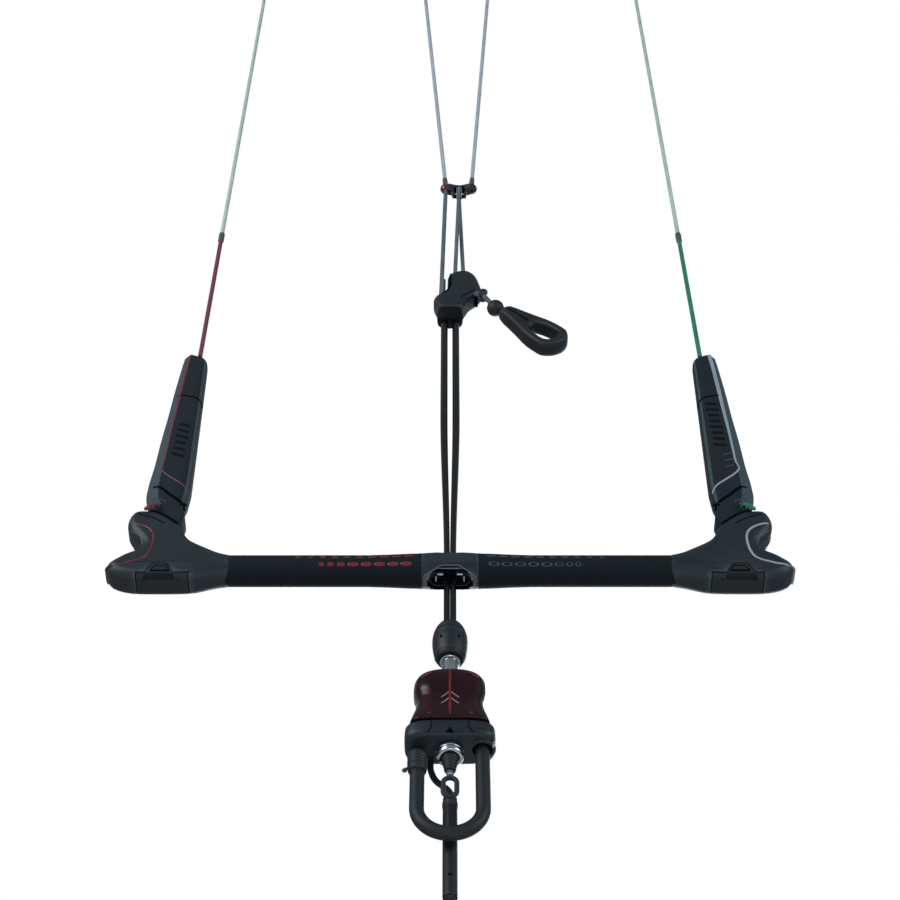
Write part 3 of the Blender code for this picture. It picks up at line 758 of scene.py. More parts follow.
@dataclass
class Spreader:
    """The piece that keeps the front lines apart, its beads, and the sheave for the trim line."""

    sheave: Point = (9.0, 0.0, 576.0)
    bead_radius: float = 5.3

    def build(self) -> None:
        """Makes the yoke, the beads, the sheave and its axle."""
        yoke = [(2.2, 572.6), (5, 572.6), (5, 583.4), (13, 583.4), (13, 572.6), (15.8, 572.6), (16.2, 578.5),
                (20.4, 580.6), (22.4, 585), (21.4, 590.4), (17.6, 591.2), (13, 588.4), (9, 587.4), (5, 588.4),
                (-0.6, 591.2), (-4.4, 590.4), (-5.6, 585), (-3.6, 580.6), (1.8, 578.5)]
        Piece("spreader_yoke", "lines", RUBBER).add(slab(rounded(yoke, 3, 0.2), -3.8, 3.8, 1.1)).made("spreader")
        r = self.bead_radius
        t = np.linspace(0.3, math.pi - 0.3, 22)
        profile = np.vstack([[(1.0, -r + 1.2)], np.stack([r * np.sin(t), -r * np.cos(t)], 1), [(1.0, r - 1.2)]])
        for side, x, finish in (("left", -4.3, BEAD), ("right", 21.2, RUBBER)):
            Piece("bead_" + side, "lines", finish).add(turned(profile, 40, centre=(x, 0, 586))).made(
                "spreader_bead_" + side)
        groove = [(6.2, -2.8), (6.6, -2.5), (6.6, -2.1), (4.2, -1.1), (3.7, 0), (4.2, 1.1), (6.6, 2.1), (6.6, 2.5),
                  (6.2, 2.8), (3.0, 2.8), (2.8, 2.3), (1.4, 2.3), (1.4, -2.3), (2.8, -2.3), (3.0, -2.8)]
        Piece("sheave_wheel", "sheave", STEEL).add(turned(groove, 40, "x", self.sheave), loop=True).made("sheave")
        pin = [(0.8, -7.6), (2.3, -7.5), (2.4, -7.0), (1.2, -6.8), (1.2, 6.8), (2.4, 7.0), (2.3, 7.5), (0.8, 7.6)]
        Piece("sheave_pin", "lines", STEEL).add(turned(pin, 24, "x", self.sheave)).made("sheave_axle")


@dataclass
class TrimUnit:
    """The trim line and its cleat, the safety line, the boot, the swivelling eye, the tail and the handle."""

    half_depth: float = 9.5
    eye: Point = (29.5, -13.0, 369.5)
    bead: Point = (40.0, -22.0, 333.0)
    handle_angle: float = -49.0
    outline: list[tuple[float, float, float]] = field(default_factory=lambda: [
        (-11, 357.5, 3), (-11.6, 361.5, 4), (-14, 366.5, 6), (-15.2, 373, 6.5), (-12.4, 379.4, 6.5), (-7, 382.6, 5),
        (-2.8, 386, 4), (-2.2, 396, 4.5), (-2.2, 411, 6), (0.2, 416.4, 6.5), (6, 419.8, 6.5), (10.5, 421.4, 6.5),
        (17, 420.6, 6.5), (22.2, 415.6, 6.5), (25, 408.5, 6.5), (27, 399, 6.5), (28.6, 390.5, 6.5), (27.6, 384, 6),
        (22.6, 378.4, 5), (17.2, 372.4, 5), (14.4, 365.5, 4.5), (12.2, 360.5, 4), (11.4, 357.5, 3)])

    def lines(self) -> None:
        """The trim line over the sheave and the safety line, left unattached between the lines and the unit."""
        over = [(9, -5.5 * math.cos(t), 576 + 5.5 * math.sin(t)) for t in np.linspace(0, math.pi, 15)]
        up = np.linspace((4.5, -1, 417.4), (9, -5.5, 574), 40)
        down = np.linspace((9, 5.5, 574), (12.5, 1, 419.4), 40)
        path = np.vstack([up, over, down])
        stretch = ("lines", "depower_unit", (9, 0, 570), (9, 0, 420))
        Piece("trim_rope", "lines", TRIM_LINE).add(swept(path, 1.9, 14, (1, 0, 0))).made(
            "trim_line", between=stretch)
        path = np.linspace((-8.2, 0, 380.5), (-4.3, 0, 579.9), 40)
        Piece("safety_rope", "lines", TRIM_LINE).add(swept(path, 2.0, 14)).made("safety_line", between=stretch)

    def cleat(self) -> None:
        """The two shells with their rounded edges, their channels painted dark as shade and their seams, painted
        shade at the tail's mouth, the sleeve and the boot below.
        """
        shape = rounded(self.outline, 2)
        joint = 0.15  # half the gap between the shells
        for tag, low, high, sides in (("front", -self.half_depth, -joint, "low"),
                                      ("back", joint, self.half_depth, "high")):
            grid = slab(shape, low, high, shape[:, 2], 9, sides)
            Piece("cleat_shell_" + tag, "depower_unit", CHARCOAL).add(grid).made("cleat_" + tag)
        channel = through([(1.2, 413.0), (0.9, 402), (0.3, 391), (-1.8, 383.6), (-6.4, 378.5)], 6)
        wide = np.interp(np.linspace(0, 1, len(channel)), [0, 0.6, 1], [1.5, 1.7, 0.9])
        seam = through([(9.6, 371.5), (13.5, 375.5), (18, 379.5), (22.5, 384.5)], 6)
        # Dark strips on both faces: the seams are dark joints; the channels' dark is painted shade in the groove.
        for sign, tag in ((-1, "front"), (1, "back")):
            for kind, flat, size, count in (("channel", channel, np.c_[wide, 0 * wide + 0.25], 12),
                                            ("seam", seam, (0.6, 0.2), 10)):
                path = np.insert(flat, 1, sign * domed(self.outline, self.half_depth, flat), axis=1)
                Piece(f"cleat_{kind}_{tag}", "depower_unit", GROOVE_AND_SHADE).add(swept(path, size, count)).made()
        # Painted shade: a black pad on the shell's underside where the tail leaves, standing for the dark hollow
        # there.
        pad = swept(np.linspace((22.6, -6.6, 379.8), (22.6, 5.0, 379.8), 10), (1.6, 3.8), 20, (0.62, 0, -0.78))
        Piece("cleat_tail_mouth", "depower_unit", GROOVE_AND_SHADE).add(pad).made()
        sleeve = np.linspace((-6.6, -2.4, 380.5), (-5.8, -2.4, 411.0), 8)
        size = np.linspace(2.4, 1.9, 8)[:, None]
        Piece("safety_sleeve", "depower_unit", TRIM_LINE).add(swept(sleeve, size, 18)).made()
        boot = [(z, 0, 0, half_x, half_y, power) for z, half_x, half_y, power in (
            (342.8, 8.6, 5.4, 2.6), (343.6, 9.6, 6.2, 2.8), (345, 11, 7.4, 3), (346.6, 11.3, 7.7, 3),
            (347.4, 10.7, 7.2, 3), (348.4, 11.4, 7.9, 3), (350.8, 11.5, 8, 3), (351.6, 10.8, 7.4, 3),
            (352.6, 11.4, 8, 3), (355, 11.2, 8.2, 3), (357.7, 10.6, 8, 3))]
        Piece("cleat_boot_ribs", "depower_unit", BOOT).add(ovals(boot, 56, 4)).made("cleat_boot")

    def tail(self) -> None:
        """The eye, the cord from the eye to the stop bead, and the bead."""
        x, _, z = self.eye
        barrel = [(2.4, -17.5), (3.6, -17.2), (4.2, -16.4), (4.2, -14.4), (3.3, -13.6), (3.3, -11.4), (4.2, -10.6),
                  (4.2, -8.2), (3.4, -7)]
        Piece("trim_eye_barrel", "trim_swivel", RUBBER).add(turned(barrel, 36, "y", (x, 0, z))).made("trim_eye")
        link = through([(23.4, -6.5, 379.5), (25.4, -9.6, 377.4), (27.4, -11.6, 373.6), (29, -12.6, 370.4)], 5)
        Piece("trim_eye_link", "depower_unit", TRIM_LINE).add(swept(link, 2.2, 16)).made()
        eye, bead, radius = np.array(self.eye), np.array(self.bead), 7.5
        run = (bead - eye) / np.linalg.norm(bead - eye)
        path = np.linspace(eye + run * 4.9, bead - run * (radius + 0.4), 24)
        Piece("trim_tail_rope", "trim_swivel", TRIM_LINE).add(swept(path, 2.1, 18)).made(
            "trim_tail_cord", between=("trim_swivel", "trim_pull", path[0], path[-1]))
        t = np.linspace(0.35, math.pi - 0.35, 20)[:, None]
        rings = swept(bead - run * radius * np.cos(t), radius * np.sin(t), 40)
        Piece("trim_bead_ball", "trim_pull", RUBBER).add(rings).made("trim_bead")

    def handle(self) -> None:
        """The teardrop handle: a band between its outline and its hole, turned to hang, with a groove each side."""
        turn = math.radians(self.handle_angle)
        spin = np.array([[math.cos(turn), math.sin(turn)], [-math.sin(turn), math.cos(turn)]])
        start, centre = np.array([46.5, 326.5]), (50.0, 0.0)
        outer = [(-1, 4.2), (2, 6.4), (10, 7.6), (28, 11.4), (45, 16.0), *arc((57, 0), 17.5, 70, -70, 14),
                 (45, -16.0), (28, -11.4), (10, -7.6), (2, -6.4), (-1, -4.2)]
        hole = [(36.8, 1.8), (38, 4.2), (46, 7.6), *arc((57, 0), 8.8, 78, -78, 14), (46, -7.6), (38, -4.2),
                (36.8, -1.8)]
        edges = [by_turn(rounded(line, 2), 120, centre, 900) @ spin + start for line in (outer, hole)]
        body = band(*edges, -29.5, -14.5, 28, 3.4)
        Piece("trim_handle_grip", "trim_pull", RUBBER).add(body, loop=True).made("trim_handle")
        line = np.linspace((7.0, 0.0), (31.0, 0.0), 12) @ spin + start
        for k, y in enumerate((-29.4, -14.6)):
            path = np.insert(line, 1, y, axis=1)
            Piece(f"trim_handle_groove_{k}", "trim_pull", GROOVE_AND_SHADE).add(swept(path, (0.9, 0.2), 10)).made()

    def build(self) -> None:
        """Makes the lines, the cleat, the tail and the handle."""
        self.lines()
        self.cleat()
        self.tail()
        self.handle()


@dataclass
class SlideGear:
    """The two tubes, and the hub that slides on them with its bush, liner and pins."""

    hub_half: float = 21.7
    hub_radius: float = 13.4
    slot: tuple[float, float] = (16.3, 7.3)
    mouth: tuple[float, float, float, float] = (20.2, 12.5, 6.8, 6.4)

    def tubes(self) -> None:
        """Each tube is a circle whose radius and distance from the middle ease out towards the cleat."""
        z = np.linspace(-61.7, 342.7, 60)
        t = np.clip((z - 5) / 200, 0, 1)
        ease = t * t * (3 - 2 * t)
        for side, sign in (("left", -1), ("right", 1)):
            path = np.stack([sign * (2.35 + 2.7 * ease), 0 * z, z], 1)
            Piece("tube_" + side, "depower_unit", TUBE).add(swept(path, (2.3 + 0.75 * ease)[:, None], 28)).made(
                "depower_tube_" + side)

    def level(self, flat: Array, radius: float) -> Array:
        """The height over the plan of a barrel about the bar, fuller in its middle.

        Args:
            flat: The x and y of points of the plan.
            radius: The barrel's radius at its ends.

        Returns:
            The height at each point.
        """
        full = radius + 0.9 * (1 - np.minimum(np.abs(flat[:, 0]) / self.hub_half, 1) ** 2)
        return np.sqrt(np.maximum(full**2 - flat[:, 1] ** 2, 0.0))

    def hub(self) -> None:
        """The hub is a ring round its slot. Its skin lies on a cylinder about the bar, and over and under the
        slot an eight-sided mouth is cut down to the slot's wall."""
        sides = 160
        a, b, c, d = self.mouth
        corners = [(a, -d), (a, d), (c, b), (-c, b), (-a, d), (-a, -d), (-c, -b), (c, -b)]
        mouth = by_turn(rounded(corners, 1, 0.08), sides)
        quarter = np.array([(17.2, -3.5), (17.2, 3.5), (15, 5.0), (14.6, 8), (6.6, 11.7)])
        cave = np.vstack([quarter, quarter[::-1] * (-1, 1), quarter[2:] * (-1, -1), quarter[:1:-1] * (1, -1)])
        lip = by_turn(rounded(cave, 1, 0.1), sides)
        slot = racetrack(*self.slot, sides)
        x, y = self.hub_half, 13.3
        reach = by_turn(np.array([(x, -y), (x, y), (-x, y), (-x, -y)]), sides)
        skin = [np.c_[flat, self.level(flat, self.hub_radius)]
                for flat in (mouth * (1 - share) + reach * share for share in np.linspace(0, 1, 9))]
        wall, funnel = np.c_[slot, np.full(sides, 2.0)], np.c_[slot * (1.005, 1.02), np.full(sides, 2.4)]
        floor, inner = np.c_[lip * 0.985, np.full(sides, 2.8)], np.c_[lip, self.level(lip, self.hub_radius - 0.25)]
        half = [wall, funnel, floor, inner, *skin]
        whole = np.stack([*(row * (1, 1, -1) for row in half), *half[::-1]])
        hub = Piece("hub_shell", "bar", CHARCOAL).add(whole, loop=True).made("hub_front", "hub_back", sharp=30)
        for finish in (EDGE_HIGHLIGHT, GROOVE_AND_SHADE):
            hub.data.materials.append(finish.material())
        bands = [2, 2, 2, 1] + [0] * 17 + [1, 2, 2, 2, 2]  # painted shade, black, in the cave; painted highlight, pale grey, on its lip; charcoal outside
        index = np.zeros(len(hub.data.polygons), np.int32)
        index[:len(bands) * sides] = np.repeat(bands, sides)
        hub.data.polygons.foreach_set("material_index", index)
        ring = np.array([(12.6, 20.9), (13.36, 21.1), (13.5, 21.8), (13.44, 22.6), (13.3, 23.3), (12.6, 23.4)])
        for side in Side:
            collar = turned(ring * (1, side.value), 72, "x")
            Piece("hub_collar_" + side.word, "bar", GRIP).add(collar, loop=True).made()

    def liner(self) -> None:
        """The liner: a slot-shaped wall with a small chamfer at each end."""
        sides, top, edge = 96, 9.0, 8.4
        outer, inside = racetrack(16, 7, sides), racetrack(14.9, 5.9, sides)
        rows = ((outer, -edge), (outer, edge), (outer * 0.985, top), (inside * 1.02, top),
                (inside, edge), (inside, -edge), (inside * 1.02, -top), (outer * 0.985, -top))
        grid = np.stack([np.c_[flat, np.full(sides, z)] for flat, z in rows])
        Piece("hub_liner_ring", "bar", TUBE).add(grid, loop=True).made("hub_liner")

    def pins(self) -> None:
        """The guide pins, the pins and arms on the bush, and two bright bars in the hub's mouth."""
        for side in Side:
            word, sign = side.word, side.value
            pin = [(0.4, -5.2), (0.7, -5.0), (0.7, 5.0), (0.4, 5.2)]
            Piece("guide_rod_" + word, "bar", TUBE).add(turned(pin, 20, "y", (sign * 13.9, 0, -5.0))).made(
                "guide_pin_" + word)
            pin = [(0.4, -2.7), (0.8, -2.5), (0.8, 2.5), (0.4, 2.7)]
            Piece("bush_pin_" + word, "slider", STEEL).add(turned(pin, 20, "y", (sign * 10.6, 0, -8.2))).made()
            arm = through([(9.6, 0, -2.2), (10.3, 0, -5.2), (10.6, 0, -8.0)], 5)
            Piece("bush_arm_" + word, "slider", TUBE).add(swept(mirrored(arm, sign), (1.4, 0.7), 14)).made()
            bar = [(0.4, sign * 5.0), (0.8, sign * 5.3), (0.8, sign * 9.4), (0.4, sign * 9.7)]
            Piece("hub_glint_bar_" + word, "bar", STEEL).add(turned(bar, 18, "x", (0, -5.2, -9.7))).made()

    def bush(self) -> None:
        """The bush: a slot-shaped ring with rounded faces."""
        steps, sides, half_height = 20, 80, 3
        outer, inside = racetrack(10.4, 4.8, sides), racetrack(8.7, 3.45, sides)
        t = turn_of(steps)[:, None, None]
        share = 0.5 + 0.5 * squared(np.cos(t), 5)
        flat = inside[None] * (1 - share) + outer[None] * share
        height = np.broadcast_to(half_height * squared(np.sin(t), 5), (steps, sides, 1))
        grid = np.concatenate([flat, height], 2)
        Piece("bush_ring", "slider", TUBE).add(grid, loop=True).made("slide_bush")

    def build(self) -> None:
        """Makes the tubes, the hub with its liner and pins, and the bush."""
        self.tubes()
        self.hub()
        self.liner()
        self.pins()
        self.bush()


@dataclass
class Grips:
    """The bar tube and the two foam grips, with the marks on them."""

    start: float = 22.0
    end: float = 169.7
    bore: float = 9.8
    marks: list[tuple[float, float]] = field(default_factory=lambda: [
        (96.1, 4.1), (89.5, 4.9), (81.8, 6.1), (72.6, 8.1), (62.6, 7.8), (52.7, 7.8), (42.7, 7.8), (32.9, 8.1)])

    def radius(self, x: Any) -> Any:
        """The grip's radius, fuller towards the hub."""
        return np.interp(np.abs(x), [22, 32, 46, 62, 170], [13.35, 13.1, 12.45, 12.0, 12.0])

    def body(self, side: Side) -> None:
        """A grip: its profile of radius over distance, carried round the bar, with soft ends.

        Args:
            side: Which grip.
        """
        x = np.linspace(self.start + 1, self.end - 1, 150)
        skin = np.c_[self.radius(x) + 0.02 * np.sin(x * 0.9), x]
        profile = np.vstack([[(self.bore, self.start), (self.radius(22) - 1.0, self.start)], skin,
                             [(11.1, self.end), (self.bore, self.end)]])
        profile[:, 1] *= side.value
        piece = Piece("grip_foam_" + side.word, "bar", GRIP).add(turned(profile, 72, "x"), loop=True).made(
            "grip_" + side.word)

    def on_grip(self, x: Array, turn: Array, proud: float) -> Array:
        """Points on the grip, or proud of it, from their distance along it and turn from straight forward."""
        r = self.radius(x) + proud
        return np.stack([x, -r * np.cos(turn), r * np.sin(turn)], -1)

    def mark(self, piece: Piece, x: float, turn: float, width: float, height: float, hollow: bool) -> None:
        """One mark: a thin lens, or where hollow a thin ring, laid on the grip.

        Args:
            piece: What it is added to.
            x: Its middle along the bar.
            turn: Its middle's turn from straight forward, upwards.
            width: Its length along the bar.
            height: Its height round the grip.
            hollow: Whether only its outline is there.
        """
        t = turn_of(28)
        ring = np.stack([squared(np.cos(t), 2.6) * width / 2, squared(np.sin(t), 2.6) * height / 2], 1)
        r = float(self.radius(x))
        shares = (1.0, 1.0, 0.93, 0.8, 0.66, 0.62, 0.62) if hollow else (1.0, 1.0, 0.94, 0.7, 0.35, 0.06)
        prouds = (-0.5, 0.02, 0.16, 0.2, 0.16, 0.02, -0.5) if hollow else (-0.5, 0.05, 0.22, 0.28, 0.2, 0.16)
        rows = [self.on_grip(x + ring[:, 0] * s, turn + ring[:, 1] * s / r, p) for s, p in zip(shares, prouds)]
        piece.add(np.stack(rows), loop=hollow)

    def marked(self, side: Side) -> None:
        """The rows of marks: ovals facing forward and down, and dashes on the upper edge.

        Args:
            side: Which grip.
        """
        left = side is Side.LEFT
        down, up = -math.radians(24.5), math.radians(10)
        front = Piece("grip_marks_" + side.word, "bar", RED if left else GREY)
        groove = Piece("grip_mark_grooves_" + side.word, "bar", GROOVE_AND_SHADE)
        for x, width in self.marks:
            self.mark(front, side.value * x, down, width, 3.6, not left)
            if left:
                self.mark(groove, side.value * x, down, width * 0.62, 0.8, True)
        front.made()
        if left:
            groove.made()
        upper = Piece("grip_dashes_" + side.word, "bar", RED if left else GREY)
        for x, width in zip(np.linspace(31, 114, 10), np.linspace(7.6, 3.8, 10)):
            self.mark(upper, side.value * x, up, width, 2.0, False)
        upper.made()

    def build(self) -> None:
        """Makes the tube and both grips."""
        edge = np.array([(8.0, 193.4), (8.4, 194), (9.1, 194), (9.5, 193.4)])
        tube = np.vstack([edge * (1, -1), edge[::-1]])
        sides = 64
        plan = racetrack(*SlideGear.slot, sides)
        slot = Piece("tube_slot", "bar", ALUMINIUM).add(
            np.stack([np.c_[plan, np.full(sides, z)] for z in (-15.0, 15.0)]))
        Piece("bar_core_tube", "bar", ALUMINIUM).add(turned(tube, 48, "x"), loop=True).made("bar_tube", cuts=[slot])
        for side in Side:
            self.body(side)
            self.marked(side)


TRIM_PATH = [(244.6, 43.8), (241.3, 42.9), (235.9, 40.8), (231.0, 37.6), (227.2, 32.5), (225.6, 25.5),
             (225.6, 17.5), (226.6, 10.5), (228.9, 4.2), (232.8, 0.3), (238.4, -2.2), (244.5, -4.6), (249.2, -5.6),
             (253.4, -6.6)]  # the coloured line on a bar end, x and z
LOBE_PATH = [(243.6, 37.2), (239.6, 33.6), (236.0, 30.0), (234.2, 25.8), (233.4, 21.5)]  # a painted highlight along the lobe's edge beside it


@dataclass
class BarEnd:
    """A bar end with its float cradle, trim line, raised inset and grooves, and the insert under it."""

    side: Side
    half_depth: float = 12.0
    outline: list[tuple[float, float, float]] = field(default_factory=lambda: [
        *[(x, z, 11.3) for x, z in arc((167.2, 0), 11.7, 97, 263, 14).tolist()], (176.6, -13.0, 10),
        (186.5, -15.6, 8), (195.5, -17.0, 7), (216, -17.4, 7), (236, -17.2, 7), (244.7, -15.4, 7),
        (251.5, -13.0, 7.5), (256.2, -9.4, 8), (258.4, -3.8, 8), (256.2, 1.4, 8), (251.5, 5.9, 8),
        (246.0, 10.6, 7.5), (238.5, 14.6, 7), (233.6, 19.6, 7), (236.2, 25.6, 7.5), (241.2, 31.6, 8), (246.0, 38, 8),
        (248.4, 45.5, 7), (247.2, 52.6, 5), (244.2, 57.6, 3.4), (240.2, 59.5, 2.6), (230.7, 58.7, 2.2),
        (225.6, 56.5, 2.2), (219.6, 52.2, 2.2), (214.5, 47.8, 2.2), (208.5, 42.1, 2.3), (204.4, 37.2, 2.6),
        (202.2, 31.0, 4), (198.4, 26.6, 6), (191.5, 23.0, 8.5), (180.3, 17.4, 10.4), (174.5, 14.4, 11.2)])

    def on(self, flat: Any) -> Array:
        """Points of this side's plan with their x turned to the side."""
        return mirrored(flat, self.side.value)

    def strip(self, name: str, flat: Any, proud: float, half: tuple[float, float], finish: Finish, per: int = 6,
              closed: bool = False, body: str = "bar") -> None:
        """A thin line along both faces, half sunk in them.

        Args:
            name: The piece's name, without its side.
            flat: Its x and z.
            proud: How far its middle stands off the face.
            half: Its half width and half thickness.
            finish: What it is made of.
            per: How many points each stretch gets.
            closed: Whether it runs back into its start.
            body: What it moves with.
        """
        line = through(flat, per, closed)
        depth = domed(self.outline, self.half_depth, line) + proud
        for face, sign in (("front", -1), ("back", 1)):
            path = self.on(np.stack([line[:, 0], sign * depth, line[:, 1]], 1))
            piece = Piece(f"{name}_{face}_{self.side.word}", body, finish)
            piece.add(swept(path, half, 12, closed=closed), loop=closed).made()

    def shell(self, name: str, body: str, finish: Finish) -> Piece:
        """The end's whole shape, from which the shell and the insert are both cut.

        Args:
            name: The piece's name, without its side.
            body: What it moves with.
            finish: What it is made of.

        Returns:
            The piece, not made yet.
        """
        shape = rounded(self.outline, 2)
        grid = slab(self.on(shape[:, :2]), -self.half_depth, self.half_depth, shape[:, 2], 8)
        return Piece(name + "_" + self.side.word, body, finish).add(grid)

    def panel_block(self, grow: float) -> Piece:
        """The block under the end that the insert's panel fills.

        Args:
            grow: How much it is grown all round.

        Returns:
            The block.
        """
        left, right, top, half = 195.2 - grow, 234.2 + grow, -7.2 + grow, 10.7 + grow
        panel = [(left, -19), (right, -19), (right, top), (left, top)]
        return Piece("block", "bar", PANEL).add(slab(self.on(rounded(panel, 1, 0.05)), -half, half, 0.1, 2))

    def tab_block(self, grow: float) -> Piece:
        """The trapezoid block that the insert's tab fills, up the front face.

        Args:
            grow: How much it is grown all round.

        Returns:
            The block.
        """
        top = -4.5 + grow
        tab = [(203.8 - grow, -18), (230.2 + grow, -18), (222.6 + grow, top), (212.4 - grow, top)]
        return Piece("block", "bar", PANEL).add(slab(self.on(rounded(tab, 2, 0.1)), -14, -5.9 + grow, 0.1, 2))

    def cradle(self) -> Piece:
        """The round slot, between the end's two cheeks, that the float's knuckle turns in.

        Returns:
            The slot's shape, which is cut out of the end.
        """
        centre = (self.side.value * KNUCKLE[0], 0, KNUCKLE[1])
        round_slot = turned([(0.01, -9.55), (16.15, -9.55), (16.15, 9.55), (0.01, 9.55)], 72, "y", centre)
        return Piece("slot", "bar", CHARCOAL).add(round_slot)

    def insert(self) -> None:
        """The insert is what the end's shape has inside the two blocks, with a thin gap round it."""
        word, sign = self.side.word, self.side.value
        body, gap = "insert_" + word, -0.3
        self.shell("insert_panel", body, PANEL).made("end_insert_" + word, within=self.panel_block(gap), sharp=32)
        self.shell("insert_tab", body, PANEL).made(within=self.tab_block(gap), sharp=32)
        button = [(223.6, -12.6), (220.2, -7.4), (212.8, -7.4), (209.2, -12.6)]
        for k, (path, half) in enumerate(((button, (0.4, 0.3)), (button[:1] + button[-1:], (0.8, 0.3)))):
            line = evened(np.array(path, float), 30)
            line = self.on(np.stack([line[:, 0], -domed(self.outline, self.half_depth, line), line[:, 1]], 1))
            Piece(f"insert_button_{k}_{word}", body, GROOVE_AND_SHADE).add(swept(line, half, 10)).made()
        y, z, half = -6.2, -17.36, 1.2
        for k, x in enumerate((203.0, 227.5)):
            dash = np.linspace((sign * (x - half), y, z), (sign * (x + half), y, z), 6)
            Piece(f"insert_dash_{k}_{word}", body, GROOVE_AND_SHADE).add(swept(dash, (0.3, 0.12), 8)).made()

    def build(self) -> None:
        """Makes the end, its lines and grooves, a painted highlight on the lobe's edge, a painted shadow by the
        cradle, and the insert.
        """
        word, sign = self.side.word, self.side.value
        self.shell("end_shell", "bar", CHARCOAL).made(
            "bar_end_" + word, cuts=[self.panel_block(0.4), self.tab_block(0.4), self.cradle()], sharp=32)
        self.insert()
        accent, wide = (RED, 0.62) if self.side is Side.LEFT else (SILVER, 0.95)
        self.strip("end_trim", TRIM_PATH, 0.0, (wide, 0.3), accent)
        t = np.radians(np.linspace(-72, 30, 31))
        along, deep = sign * (258.35 - 8 * (1 - np.cos(t))), 4 * np.sign(t) + 8 * np.sin(t)
        tip = np.stack([along, deep, -4.6 - 2.4 * np.abs(np.sin(t))], 1)
        Piece("end_trim_tip_" + word, "bar", accent).add(swept(tip, (0.3, wide), 12, (1, 0, 0.001))).made()
        # A painted highlight: a pale strip along the lobe's lit edge.
        self.strip("end_lobe_highlight", LOBE_PATH, 0.0, (0.7, 0.3), EDGE_HIGHLIGHT)
        slit = [(240.4, 54.5), (234.6, 52.0), (226.5, 48.5), (219, 42.5)]
        self.strip("end_slit", slit, -0.02, (0.6, 0.2), GROOVE_AND_SHADE)
        rim = through([(231.5, 59.3), (225.2, 57.3), (219.0, 53.0), (213.8, 48.5), (209.5, 44.6)], 6)
        for face, side in (("front", -1), ("back", 1)):
            path = np.stack([sign * rim[:, 0], np.full(len(rim), side * 10.75), rim[:, 1]], 1)
            Piece(f"cradle_shadow_{face}_{word}", "bar", GROOVE_AND_SHADE).add(swept(path, (1.1, 0.9), 12)).made()


